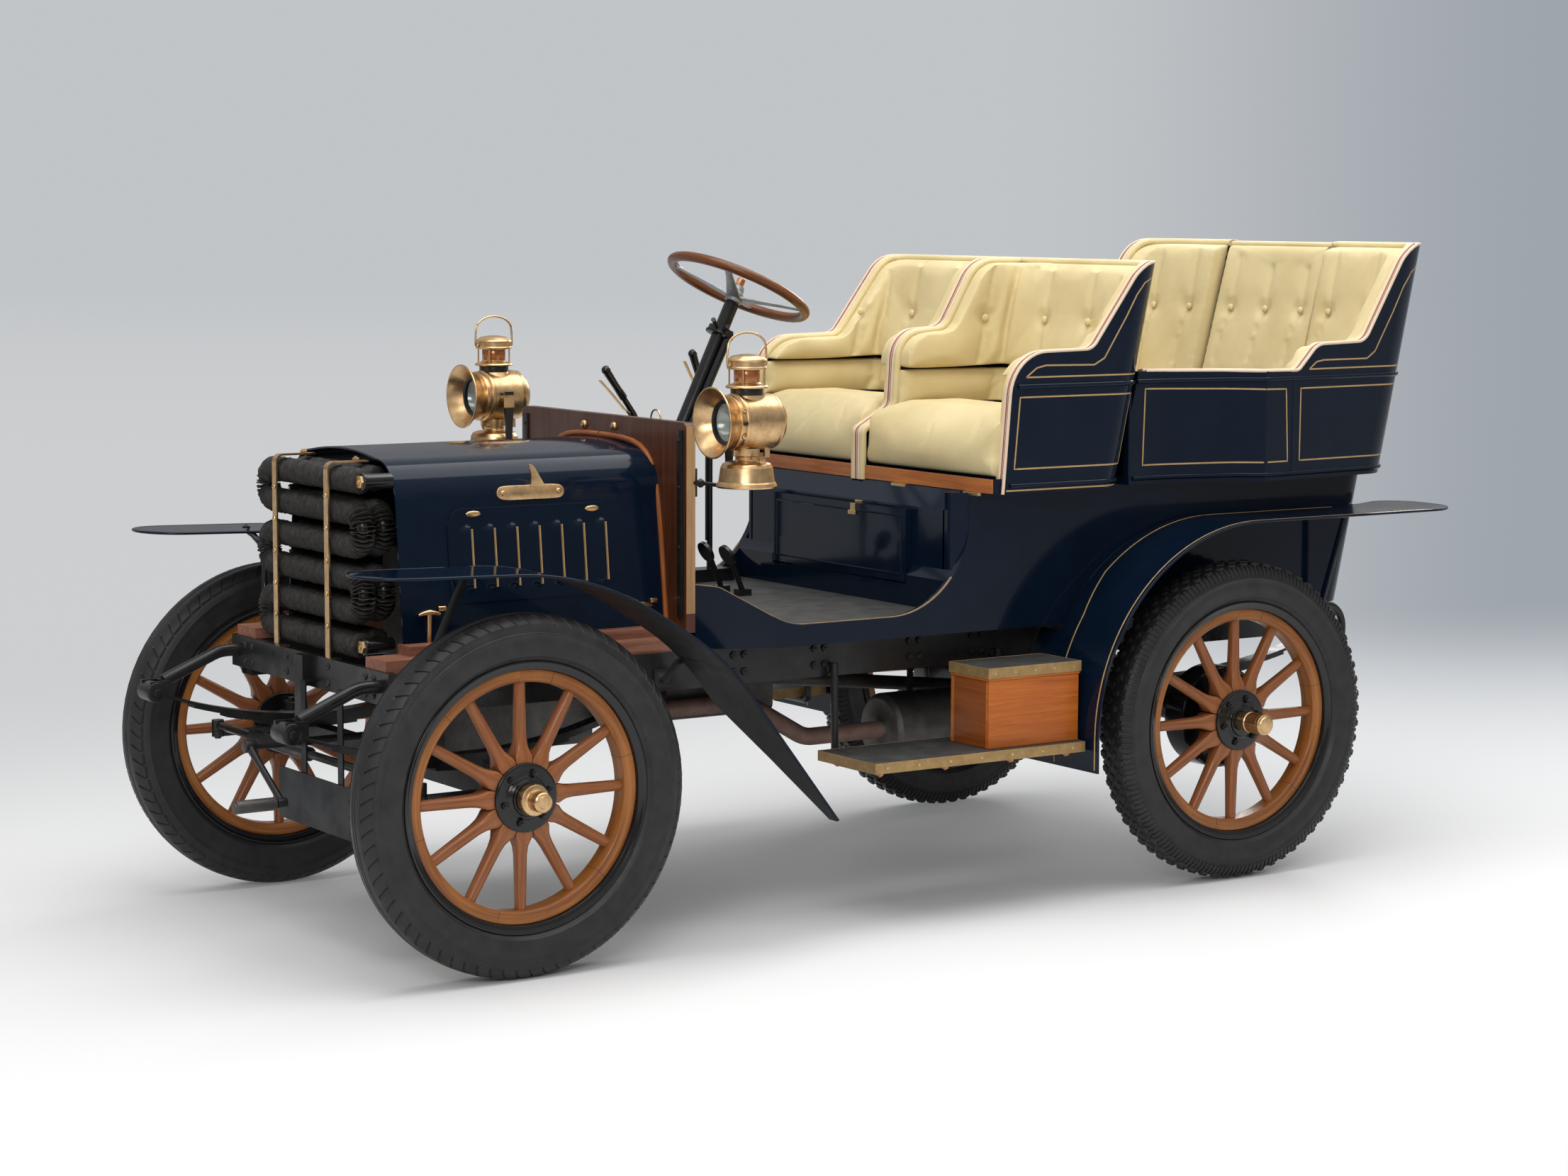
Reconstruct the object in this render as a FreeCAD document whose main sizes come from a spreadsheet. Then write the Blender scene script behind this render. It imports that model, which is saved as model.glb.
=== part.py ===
import FreeCAD, Part
import Sketcher
import math
import os

from FreeCAD import Placement, Rotation, Vector

# A small motor car of about 1904: rear tonneau body, twin bucket seats, wooden artillery wheels.
# Frame: +X to the rear, +Y to the car's right, +Z up, ground at z = 0, middle of the length at x = 0.
# Stations are distances behind the front axle; each sub-part's Placement moves them into the frame.

doc = FreeCAD.newDocument("BrassEraCar")

# ---------------------------------------------------------------- driving dimensions, millimetres
sizes = [
    ("front_axle_x", -1154.8),
    ("wheelbase", 2063),
    ("half_track", 621),
    ("tyre_radius", 405),
    ("tyre_half_width", 54),
    ("tread_half_width", 38),
    ("felloe_radius", 283),
    ("felloe_depth", 28),
    ("felloe_half_width", 27),
    ("spoke_root_radius", 92),
    ("spoke_count", 12),
    ("hub_flange_radius", 77),
    ("hub_barrel_radius", 33),
    ("hub_half_width", 25),
    ("hub_bore_radius", 18),
    ("running_clearance", 0.05),
    ("kingpin_half_track", 535),
    ("steering_arm", 200),
    ("rail_half_width", 400),
    ("rail_thickness", 55),
    ("rail_bottom", 570),
    ("rail_top", 660),
    ("front_plate_station", -205),
    ("rail_end_station", 2480),
    ("spring_half_track", 370),
    ("spring_width", 44),
    ("dash_station", 575),
    ("dash_thickness", 25),
    ("dash_half_width", 390),
    ("dash_top", 1192),
    ("dash_bottom", 700),
    ("bonnet_front_station", -117),
    ("bonnet_bottom", 712),
    ("bonnet_crown", 1138),
    ("sheet_thickness", 4),
    ("floor_top", 712),
    ("body_bottom", 661),
    ("body_half_width", 480),
    ("body_wall", 20),
    ("riser_station", 1292),
    ("bulkhead_station", 1830),
    ("seat_base_bottom", 1004),
    ("seat_base_top", 1040),
    ("seat_front_station", 1337),
    ("seat_half_width", 570),
    ("seat_top", 1557),
    ("panel_thickness", 22),
    ("tub_top", 1598),
    ("fender_thickness", 5),
    ("fender_outer", 715),
    ("step_top", 400),
    ("step_thickness", 26),
    ("step_outer", 680),
    ("step_inner", 440),
    ("step_front_station", 915),
    ("step_rear_station", 1540),
    ("box_front_station", 1267),
    ("box_rear_station", 1540),
    ("lamp_station", 512),
    ("lamp_half_track", 597),
    ("lamp_height", 1206),
    ("steering_wheel_radius", 197),
    ("steering_rim_radius", 13),
    ("column_side", 300),
    ("column_tilt", 26),
    ("engine_length", 480),
    ("engine_width", 300),
    ("engine_height", 330),
]

sheet = doc.addObject("Spreadsheet::Sheet", "Sizes")
for row, (alias, amount) in enumerate(sizes, 1):
    sheet.set(f"A{row}", alias)
    sheet.set(f"B{row}", str(amount))
    sheet.setAlias(f"B{row}", alias)
doc.recompute()


def size(alias):
    return float(sheet.get(alias))


# ---------------------------------------------------------------- helpers
sub_parts = []


def keep(item, label, station="0", side="0", height="0"):
    """Names a sub-part and binds its Placement to the sheet."""
    item.Label = label
    item.setExpression("Placement.Base.x", f"Sizes.front_axle_x + {station}")
    item.setExpression("Placement.Base.y", side)
    item.setExpression("Placement.Base.z", height)
    sub_parts.append(item)
    return item


def feature(label, shape):
    """A sub-part whose form no workbench feature makes directly."""
    item = doc.addObject("Part::Feature", "Form")
    item.Shape = shape
    return keep(item, label)


def side_spot(offset):
    return lambda spot: Vector(spot.x, offset, spot.y)


def plan_spot(offset):
    return lambda spot: Vector(spot.x, spot.y, offset)


def front_spot(offset):
    return lambda spot: Vector(offset, spot.x, spot.y)


def rounded_wire(corners, spot, closed=True):
    """Straight runs joined by tangent arcs; each corner is (u, v, radius)."""
    count = len(corners)
    ends = []
    for index, (u, v, radius) in enumerate(corners):
        here = Vector(u, v, 0)
        if radius == 0 or (not closed and index in (0, count - 1)):
            ends.append((here, None, here))
            continue
        before = Vector(*corners[index - 1][:2], 0) - here
        after = Vector(*corners[(index + 1) % count][:2], 0) - here
        before.normalize()
        after.normalize()
        half = before.getAngle(after) / 2
        inward = before + after
        inward.normalize()
        reach = radius / math.tan(half)
        middle = here + inward * (radius / math.sin(half) - radius)
        ends.append((here + before * reach, middle, here + after * reach))
    edges = []
    for index, (start, middle, end) in enumerate(ends):
        if middle is not None:
            edges.append(Part.Arc(spot(start), spot(middle), spot(end)).toShape())
        if closed or index < count - 1:
            follow = ends[(index + 1) % count][0]
            if end.distanceToPoint(follow) > 1e-6:
                edges.append(Part.LineSegment(spot(end), spot(follow)).toShape())
    return Part.Wire(edges)


def sheet_corners(path, thickness):
    """Closed corners of a sheet that follows an open path, with its thickness on the left."""
    offset = []
    last = len(path) - 1
    for index, (u, v, radius) in enumerate(path):
        here = Vector(u, v, 0)
        before = here - Vector(*path[max(index - 1, 0)][:2], 0)
        after = Vector(*path[min(index + 1, last)][:2], 0) - here
        if index == 0:
            before = after
        if index == last:
            after = before
        normal_in = Vector(-before.y, before.x, 0).normalize()
        normal_out = Vector(-after.y, after.x, 0).normalize()
        shift = (normal_in + normal_out) * (thickness / (1 + normal_in.dot(normal_out)))
        bend = before.x * after.y - before.y * after.x
        new_radius = radius - math.copysign(thickness, bend) if radius else 0
        offset.append((u + shift.x, v + shift.y, new_radius))
    return list(path) + offset[::-1]


def side_prism(corners, low, high):
    """Side-view outline (x, z) drawn out from y = low to y = high."""
    face = Part.Face(rounded_wire(corners, side_spot(low)))
    return face.extrude(Vector(0, high - low, 0))


def plan_prism(corners, low, high):
    """Plan outline (x, y) drawn up from z = low to z = high."""
    face = Part.Face(rounded_wire(corners, plan_spot(low)))
    return face.extrude(Vector(0, 0, high - low))


def front_prism(corners, low, high):
    """Front-view outline (y, z) drawn back from x = low to x = high."""
    face = Part.Face(rounded_wire(corners, front_spot(low)))
    return face.extrude(Vector(high - low, 0, 0))


def level(corners, height):
    """Plan outline set at a height."""
    return rounded_wire(corners, plan_spot(height))


def both_sides(half):
    """A whole plan path from its left half."""
    return half + [(u, -v, radius) for u, v, radius in half[::-1]]


def leaning_wall(path_at, thickness, low, high):
    """Upright sheet along a plan path that shifts with height."""
    wires = [level(sheet_corners(path_at(height), thickness), height) for height in (low, high)]
    return Part.makeLoft(wires, True, True)


def leaning_room(path_at, depth, low, high):
    """Solid of the space inside such a wall, drawn in from its outer face by a depth."""
    wires = []
    for height in (low, high):
        path = path_at(height)
        inner = sheet_corners(path, depth)[len(path):]
        wires.append(level(inner, height))
    return Part.makeLoft(wires, True, True)


def sharp(points):
    return [(u, v, 0) for u, v in points]


def block(x_low, x_high, y_low, y_high, z_low, z_high):
    return Part.makeBox(x_high - x_low, y_high - y_low, z_high - z_low, Vector(x_low, y_low, z_low))


def rod(start, end, radius):
    run = Vector(*end) - Vector(*start)
    return Part.makeCylinder(radius, run.Length, Vector(*start), run)


def turned(profile, spot, axis, centre=(0, 0, 0)):
    """Solid of revolution; the profile's corners are (radius, along, rounding)."""
    face = Part.Face(rounded_wire(profile, spot))
    return face.revolve(Vector(*centre), Vector(*axis), 360)


def bent_rod(corners, radius, spot):
    """Round bar along straight runs and arcs."""
    path = rounded_wire(corners, spot, closed=False)
    start = path.Vertexes[0].Point
    heading = path.Edges[0].tangentAt(path.Edges[0].FirstParameter)
    ring = Part.Wire(Part.Circle(start, heading, radius).toShape())
    return path.makePipeShell([ring], True, False)


def mirrored(shape):
    return shape.mirror(Vector(0, 0, 0), Vector(0, 1, 0))


def joined(shapes):
    """One solid from overlapping ones; seams are cleaned only where that leaves it sound."""
    whole = shapes[0]
    for shape in shapes[1:]:
        whole = whole.fuse(shape)
    clean = whole.removeSplitter()
    return clean if clean.isValid() and abs(clean.Volume - whole.Volume) < 10 else whole


# ---- Part Design helpers
def new_body(name):
    return doc.addObject("PartDesign::Body", name)


def plane(body, role):
    return next(item for item in body.Origin.OriginFeatures if item.Role == role)


def new_sketch(body, name, role, lift=0):
    sketch = body.newObject("Sketcher::SketchObject", name)
    sketch.AttachmentSupport = [(plane(body, role), "")]
    sketch.MapMode = "FlatFace"
    sketch.AttachmentOffset = Placement(Vector(0, 0, lift), Rotation())
    return sketch


def dim(alias, plus=0, times=1):
    """A coordinate that follows the sheet: its value now, and the expression that keeps it."""
    return times * size(alias) + plus, f"{times} * Sizes.{alias} + {plus}"


def fixed(amount):
    return amount, None


def coordinate(entry):
    return entry if isinstance(entry, tuple) else fixed(entry)


def hold(sketch, edge, end, kind, axis, entry):
    """Ties one end of an edge to the sheet, or to the sketch's axis where the value is zero."""
    amount, expression = coordinate(entry)
    if abs(amount) < 1e-9:
        sketch.addConstraint(Sketcher.Constraint("PointOnObject", edge, end, axis))
        return
    number = sketch.addConstraint(Sketcher.Constraint(kind, -1, 1, edge, end, amount))
    if expression:
        sketch.setExpression(f"Constraints[{number}]", expression)


def draw_outline(sketch, corners):
    """Closed outline of straight lines; each corner is a pair of coordinates."""
    first = sketch.GeometryCount
    spots = [Vector(coordinate(u)[0], coordinate(v)[0], 0) for u, v in corners]
    count = len(spots)
    for index in range(count):
        sketch.addGeometry(Part.LineSegment(spots[index], spots[(index + 1) % count]), False)
    for index in range(count):
        follow = first + (index + 1) % count
        sketch.addConstraint(Sketcher.Constraint("Coincident", first + index, 2, follow, 1))
    for index, (u, v) in enumerate(corners):
        hold(sketch, first + index, 1, "DistanceX", -2, u)
        hold(sketch, first + index, 1, "DistanceY", -1, v)


def revolution(body, name, sketch, axis="V_Axis"):
    item = body.newObject("PartDesign::Revolution", name)
    item.Profile = sketch
    item.ReferenceAxis = (sketch, [axis])
    item.Angle = 360
    return item


def pad(body, name, sketch, length):
    item = body.newObject("PartDesign::Pad", name)
    item.Profile = sketch
    item.setExpression("Length", length)
    return item


corners_of_car = [("front_left", 0, -1), ("front_right", 0, 1), ("rear_left", 1, -1), ("rear_right", 1, 1)]


def place_wheel_piece(body, label, axle, side):
    """Outboard is -Y in the piece's own frame, so the right-hand one is turned about."""
    station = "Sizes.wheelbase" if axle else "0"
    keep(body, label, station, f"{side} * Sizes.half_track", "Sizes.tyre_radius")
    body.setExpression("Placement.Rotation.Yaw", "0" if side < 0 else "180")


# ---------------------------------------------------------------- wheels
def wooden_wheel(label, axle, side):
    """Felloe ring, twelve tapered spokes and the disc of their mitred roots."""
    body = new_body("WoodenWheel")
    felloe = new_sketch(body, "FelloeSection", "XY_Plane")
    inner = dim("felloe_radius", -size("felloe_depth"))
    outer = dim("felloe_radius")
    face_in = dim("felloe_half_width")
    face_out = dim("felloe_half_width", 0, -1)
    draw_outline(felloe, [(inner, face_out), (outer, face_out), (outer, face_in), (inner, face_in)])
    revolution(body, "Felloe", felloe)
    roots = new_sketch(body, "RootSection", "XY_Plane")
    bore = dim("hub_barrel_radius", 0.3)
    root = dim("spoke_root_radius")
    wood_in = dim("hub_half_width")
    wood_out = dim("hub_half_width", 0, -1)
    draw_outline(roots, [(bore, wood_out), (root, wood_out), (root, wood_in), (bore, wood_in)])
    revolution(body, "SpokeRoots", roots)
    spoke = new_sketch(body, "SpokeSection", "XY_Plane")
    tip = dim("felloe_radius", 3 - size("felloe_depth"))
    base = dim("spoke_root_radius", -12)
    draw_outline(spoke, [(base, 0), (tip, 0), (tip, 14.5), (base, 22)])
    arm = revolution(body, "Spoke", spoke, "H_Axis")
    doc.recompute()
    ring = body.newObject("PartDesign::PolarPattern", "Spokes")
    ring.Originals = [arm]
    ring.Axis = (plane(body, "Y_Axis"), [""])
    ring.Angle = 360
    ring.setExpression("Occurrences", "Sizes.spoke_count")
    body.Tip = ring
    place_wheel_piece(body, label, axle, side)


def hub(label, axle, side):
    """Flanged hub on its bearing, its cap, and the steel rim round the felloe."""
    body = new_body("Hub")
    section = new_sketch(body, "HubSection", "XY_Plane")
    bore = dim("hub_bore_radius")
    barrel = dim("hub_barrel_radius")
    flange = dim("hub_flange_radius")
    half = size("hub_half_width")
    plate = 8
    inner_end = 48
    outline = [(bore, inner_end), (barrel, inner_end)]
    if axle:
        drum = 130
        outline = [(bore, 118), (45, 118), (45, 112), (drum, 112), (drum, 42)]
        outline += [(drum - 8, 42), (drum - 8, 104), (45, 104)]
        outline += [(45, half + plate)]
    else:
        outline += [(barrel, half + plate)]
    outline += [(flange, half + plate), (flange, half), (barrel, half), (barrel, -half), (flange, -half)]
    outline += [(flange, -half - plate), (40, -half - plate)]
    if axle:
        outline += [(40, -50), (27, -50), (27, -130), (0, -130)]
    else:
        outline += [(40, -48), (35, -48), (35, -72), (23, -72), (23, -110), (0, -110)]
    outline += [(0, -62), (bore, -62)]
    draw_outline(section, outline)
    revolution(body, "TurnedHub", section)
    rim = new_sketch(body, "RimSection", "XY_Plane")
    seat = dim("felloe_radius", 0.3)
    well = dim("felloe_radius", 7.5)
    lip = dim("felloe_radius", 20)
    half_rim = [(seat, 34), (lip, 41), (lip, 37), (well, 31)]
    draw_outline(rim, half_rim + [(radius, -along) for radius, along in reversed(half_rim)])
    steel_rim = revolution(body, "SteelRim", rim)
    steel_rim.AllowMultiFace = True
    place_wheel_piece(body, label, axle, side)
    body.AllowCompound = True


def tyre(label, axle, side):
    """Beaded-edge tyre: bulged walls, a flatter crown, and beads that sit in the rim."""
    body = new_body("Tyre")
    section = new_sketch(body, "TyreSection", "XY_Plane")
    crown = size("tyre_radius")
    tread = size("tread_half_width")
    wall = size("tyre_half_width")
    bead = size("felloe_radius") + 8
    lip = size("felloe_radius") + 20.5
    wall_radius = crown - 56
    tread_edge = crown - 12
    half_section = [(bead, 30.5), (lip, 36.5), (tread_edge, tread)]
    spots = half_section + [(radius, -along) for radius, along in reversed(half_section)]
    corner = [Vector(u, v, 0) for u, v in spots]
    section.addGeometry(Part.LineSegment(corner[0], corner[1]), False)
    section.addGeometry(Part.Arc(corner[1], Vector(wall_radius, wall, 0), corner[2]), False)
    section.addGeometry(Part.Arc(corner[2], Vector(crown, 0, 0), corner[3]), False)
    section.addGeometry(Part.Arc(corner[3], Vector(wall_radius, -wall, 0), corner[4]), False)
    section.addGeometry(Part.LineSegment(corner[4], corner[5]), False)
    section.addGeometry(Part.LineSegment(corner[5], corner[0]), False)
    revolution(body, "TurnedTyre", section)
    place_wheel_piece(body, label, axle, side)


for corner_name, axle_row, car_side in corners_of_car:
    wooden_wheel("wheel_" + corner_name, axle_row, car_side)
    hub("hub_" + corner_name, axle_row, car_side)
    tyre("tyre_" + corner_name, axle_row, car_side)


# ---------------------------------------------------------------- chassis
spring_leaf = 7
spring_leaves = 5
spring_step = 85
spring_eye = 16
# front, then rear: station of the middle, height of the top face there, half length, rise to the eyes
spring_table = [(0, 466, 440, 85), (2063, 488, 477, 69)]


def eye_height(middle, rise):
    return middle + rise - spring_leaf / 2


def leaf_pack(station, middle, half_length, rise):
    """Side outline of a stepped pack: its top face is one arc, and each leaf below is shorter."""
    radius = (half_length ** 2 + rise ** 2) / (2 * rise)
    centre = middle + radius
    low = size("spring_half_track") - size("spring_width") / 2

    def spot(leaf, turn):
        reach = radius + leaf * spring_leaf
        return Vector(station + reach * math.sin(turn), low, centre - reach * math.cos(turn))

    main = half_length - spring_eye - 0.4
    angles = [math.asin((main - leaf * spring_step) / radius) for leaf in range(spring_leaves)]
    edges = [Part.Arc(spot(0, -angles[0]), spot(0, 0), spot(0, angles[0])).toShape()]
    edges.append(Part.Arc(spot(spring_leaves, -angles[-1]), spot(spring_leaves, 0),
                          spot(spring_leaves, angles[-1])).toShape())
    for end in (-1, 1):
        for leaf, angle in enumerate(angles):
            edges.append(Part.LineSegment(spot(leaf, end * angle), spot(leaf + 1, end * angle)).toShape())
            if leaf + 1 < spring_leaves:
                follow = angles[leaf + 1]
                between = (angle + follow) / 2
                turns = [spot(leaf + 1, end * turn) for turn in (angle, between, follow)]
                edges.append(Part.Arc(*turns).toShape())
    face = Part.Face(Part.Wire(Part.__sortEdges__(edges)))
    return face.extrude(Vector(0, size("spring_width"), 0))


def leaf_springs():
    """Half-elliptic packs of stepped leaves with rolled eyes."""
    packs = []
    low = size("spring_half_track") - size("spring_width") / 2
    for station, middle, half_length, rise in spring_table:
        height = eye_height(middle, rise)
        pieces = [leaf_pack(station, middle, half_length, rise)]
        for end in (-1, 1):
            eye = station + end * half_length
            pieces.append(rod((eye, low, height), (eye, low + size("spring_width"), height), spring_eye))
        packs += pieces + [mirrored(piece) for piece in pieces]
    return feature("leaf_springs", Part.makeCompound(packs))


def spring_fork(station, height, hung):
    """Two cheeks beside a spring eye: hung from the rail, or joined by a crosshead behind the eye."""
    low = size("spring_half_track") - size("spring_width") / 2
    high = low + size("spring_width")
    cheek = 8
    behind = station + (spring_eye if hung else 40)
    top = size("rail_bottom") + 2 if hung else height + 26
    pieces = [block(station - spring_eye, behind, near, near + cheek, height - spring_eye, top)
              for near in (low - cheek, high)]
    if not hung:
        pieces.append(block(station + 20, station + 40, low - cheek, high + cheek, height + 9, height + 26))
    return pieces


def chassis_frame():
    """Two rails, cross members, the front plate, dumb irons and the rear scroll irons."""
    outer = size("rail_half_width")
    inner = outer - size("rail_thickness")
    bottom = size("rail_bottom")
    top = size("rail_top")
    front = size("front_plate_station")
    rear = size("rail_end_station")
    track = size("spring_half_track")
    right = [block(front + 10, rear, inner, outer, bottom, top)]
    front_spring, rear_spring = spring_table
    front_middle, front_height, front_half, front_rise = front_spring
    rear_middle, rear_height, rear_half, rear_rise = rear_spring
    front_eye = eye_height(front_height, front_rise)
    rear_eye = eye_height(rear_height, rear_rise)
    eye_station = front_middle - front_half
    right += spring_fork(eye_station, front_eye, False)
    right += spring_fork(front_middle + front_half, front_eye, True)
    right += spring_fork(rear_middle - rear_half, rear_eye, True)
    scroll_station = rear_middle + rear_half
    right += spring_fork(scroll_station, rear_eye, False)
    horn = [(front + 30, 632, 0), (front - 60, 632, 90), (eye_station + 30, front_eye + 24, 0)]
    right.append(bent_rod(horn, 15, side_spot(track)))
    scroll = [(rear - 40, 636, 0), (2668, 636, 62), (2668, 500, 62)]
    scroll += [(2573, 500, 20), (2573, rear_eye + 15, 0)]
    right.append(bent_rod(scroll, 10, side_spot(track)))
    across = [block(front - 8, front + 10, -414, 414, 590, 665)]
    across += [block(station, station + 40, -inner, inner, 590, 650)
               for station in (720, 950, 1385, 1900, rear - 40)]
    across.append(block(front - 30, front - 8, -22, 22, 592, 663))
    across.append(block(front - 30, front - 20, -22, 22, 446, 592))
    left = [mirrored(piece) for piece in right]
    frame = joined(across + right + left)
    return feature("chassis_frame", frame.cut(rod((front - 40, 0, 460), (front, 0, 460), 10.3)))


knuckle_low, knuckle_high = 375, 435
fork_low, fork_high = 340, 470
fork_arm = 20


def front_axle():
    """Straight beam with spring seats and a fork and kingpin at each end."""
    kingpin = size("kingpin_half_track")
    beam = block(-22, 22, -500, 500, 385, 430)
    pieces = [beam]
    for side in (-1, 1):
        pin = side * kingpin
        web_low, web_high = sorted((side * 490, side * (kingpin - 27)))
        arm_low, arm_high = sorted((side * 490, pin))
        pieces.append(block(-fork_arm, fork_arm, web_low, web_high, fork_low, fork_high))
        for low, high in ((fork_low, knuckle_low - 0.5), (knuckle_high + 0.5, fork_high)):
            pieces.append(block(-fork_arm, fork_arm, arm_low, arm_high, low, high))
            pieces.append(rod((0, pin, low), (0, pin, high), fork_arm))
        pieces.append(rod((0, pin, fork_low - 8), (0, pin, fork_high + 8), 9.95))
    return feature("front_axle", joined(pieces))


def steering_knuckle(label, side):
    """Barrel on the kingpin, stub axle outboard and steering arm forward."""
    kingpin = size("kingpin_half_track")
    spindle = size("hub_bore_radius") - size("running_clearance")
    wheel = size("tyre_radius")
    tip = size("half_track") + 61
    arm = size("steering_arm")
    barrel = rod((0, kingpin, knuckle_low), (0, kingpin, knuckle_high), 20)
    pieces = [barrel, rod((0, kingpin + 15, wheel), (0, tip, wheel), spindle)]
    pieces.append(rod((0, kingpin + 15, wheel), (0, size("half_track") - 49, wheel), 24))
    pieces.append(block(-arm, -10, kingpin - 8, kingpin + 8, 397, 411))
    pieces.append(rod((-arm, kingpin, 397), (-arm, kingpin, 411), 15))
    whole = joined(pieces).cut(rod((0, kingpin, knuckle_low - 1), (0, kingpin, knuckle_high + 1), 10))
    whole = whole.cut(rod((-arm, kingpin, 390), (-arm, kingpin, 420), 8))
    return feature(label, whole if side > 0 else mirrored(whole))


def tie_rod():
    """Cross rod over the steering arms, with its cushioning coil spring."""
    arm = -size("steering_arm")
    kingpin = size("kingpin_half_track")
    height = 425
    pieces = [rod((arm, -kingpin, height), (arm, kingpin, height), 10)]
    for side in (-1, 1):
        pieces.append(rod((arm, side * kingpin, 412), (arm, side * kingpin, 438), 15))
        pieces.append(rod((arm, side * kingpin, 392), (arm, side * kingpin, 420), 7.95))
    coil = rod((arm, 20, height), (arm, 330, height), 17)
    return feature("tie_rod", joined(pieces + [coil]))


def rear_axle():
    """Tubular live axle with a round final-drive case, spring seats and stub shafts."""
    station = size("wheelbase")
    height = size("tyre_radius")
    shaft = size("hub_bore_radius") - size("running_clearance")
    tip = size("half_track") + 61
    centre = Vector(station, 0, height)
    case = Part.makeSphere(112, centre).fuse(rod((station, -75, height), (station, 75, height), 118))
    pieces = [case, rod((station, -500, height), (station, 500, height), 32)]
    pieces.append(rod((station, -tip, height), (station, tip, height), shaft))
    for side in (-1, 1):
        seat = sorted((side * 348, side * 392))
        pieces.append(block(station - 32, station + 32, *seat, height + 20, 452.5))
    pieces.append(rod((station - 190, 0, 420), (station - 80, 0, 410), 60))
    return feature("rear_axle", joined(pieces))


def engine_block():
    """Plain mass of the engine, hung between the rails."""
    base = doc.addObject("Part::Box", "EngineMass")
    base.setExpression("Length", "Sizes.engine_length")
    base.setExpression("Width", "Sizes.engine_width")
    base.setExpression("Height", "Sizes.engine_height")
    base.Placement = Placement(Vector(60, -size("engine_width") / 2, 560), Rotation())
    sump = doc.addObject("Part::Box", "Sump")
    sump.Length, sump.Width, sump.Height = 400, 200, 150
    sump.Placement = Placement(Vector(90, -100, 410), Rotation())
    whole = doc.addObject("Part::MultiFuse", "Engine")
    bearers = []
    inner = size("rail_half_width") - size("rail_thickness")
    for station in (120, 430):
        bearer = doc.addObject("Part::Box", "Bearer")
        bearer.Length, bearer.Width, bearer.Height = 40, 2 * inner, 30
        bearer.Placement = Placement(Vector(station, -inner, 610), Rotation())
        bearers.append(bearer)
    whole.Shapes = [base, sump] + bearers
    return keep(whole, "engine_block")


def transmission():
    """Gear box under the floor and the propeller shaft to the final drive."""
    case = block(700, 1010, -100, 100, 440, 590)
    case = case.makeFillet(25, [edge for edge in case.Edges if abs(edge.tangentAt(0).x) > 0.9])
    shaft = rod((1000, 0, 520), (1869, 0, 421), 18)
    clutch = rod((545, 0, 505), (705, 0, 515), 60)
    return feature("transmission", joined([case, shaft, clutch]))


def exhaust():
    """Exhaust pipe along the left of the gear box and the drum-shaped silencer."""
    side = -135
    pipe = [(492, 480, 0), (900, 480, 90), (1080, 376, 90), (1312, 376, 0)]
    drum = turned([(0, 0, 0), (80, 0, 10), (92, 12, 6), (92, 408, 6), (80, 420, 10), (0, 420, 0)],
                  lambda spot: Vector(1310 + spot.y, side, 376 + spot.x), (1, 0, 0), (0, side, 376))
    tail = rod((1728, side, 376), (1840, side, 370), 20)
    hanger = rod((1405, side, 460), (1405, side, 590), 8)
    return feature("exhaust", joined([bent_rod(pipe, 22, side_spot(side)), drum, tail, hanger]))


def starting_handle():
    """Cranked handle on a shaft through the front bearing."""
    turn = [(90, 460), (-360, 460)]
    shaft = rod((turn[0][0], 0, turn[0][1]), (turn[1][0], 0, turn[1][1]), 10)
    arm = rod((-360, 0, 460), (-360, -172, 355), 9)
    neck = rod((-350, -172, 355), (-374, -172, 355), 12)
    grip = rod((-373, -172, 355), (-478, -172, 355), 15)
    ball = Part.makeSphere(14, Vector(-360, 0, 460))
    return feature("starting_handle", joined([shaft, arm, neck, grip, ball]))


def number_plate():
    """Blank plate hung from the front cross plate by two flat irons."""
    plate = block(-250, -247, -330, 79, 275, 395)
    front = size("front_plate_station") - 8
    pieces = [plate]
    for side in (-250, -60):
        pieces.append(block(-247, -243, side, side + 25, 300, 610))
        pieces.append(block(-247, front, side, side + 25, 606, 610))
    return feature("number_plate", joined(pieces))


# ---------------------------------------------------------------- radiator and bonnet
radiator_rows = 6
radiator_pitch = 74.4
radiator_tube = 30
radiator_low = 706
# station of the layer, and how far its straight runs go to the left and right
radiator_layers = [(-186, -205, 215), (-122, -178, 178)]


def radiator():
    """Two serpentine layers of large round tubes with inlet and outlet pipes."""
    heights = [radiator_low + radiator_pitch * row for row in range(radiator_rows)][::-1]
    layers = []
    for station, near, far in radiator_layers:
        path = []
        turn = radiator_pitch / 2
        path.append((near - 25, heights[0], 0))
        for row, height in enumerate(heights[:-1]):
            end = far + turn if row % 2 == 0 else near - turn
            path.append((end, height, turn - 0.01))
            path.append((end, heights[row + 1], turn - 0.01))
        path.append((near - 25, heights[-1], 0))
        layers.append(bent_rod(path, radiator_tube, front_spot(station)))
    pieces = list(layers)
    header = radiator_layers[0][1] - 47
    for height in (heights[0], heights[-1]):
        pipe = turned([(0, 0, 0), (20, 0, 4), (20, 13, 4), (14, 13, 0), (14, 85, 0), (0, 85, 0)],
                      lambda spot: Vector(-205 + spot.y, header, height + spot.x),
                      (1, 0, 0), (0, header, height))
        pieces.append(pipe)
    return feature("radiator", Part.makeCompound(pieces))


def radiator_straps():
    """Two flat brass straps that hold the tubes to the front plate."""
    front = -186 - radiator_tube - 6
    base = size("front_plate_station")
    top = radiator_low + radiator_pitch * (radiator_rows - 1) + radiator_tube + 5
    path = [(-122, top, 0), (front, top, 14), (front, 669, 6), (base + 8, 669, 0)]
    strap = side_prism(sheet_corners(path[::-1], 4), 125, 147)
    return feature("radiator_straps", Part.makeCompound([strap, mirrored(strap)]))


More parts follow.
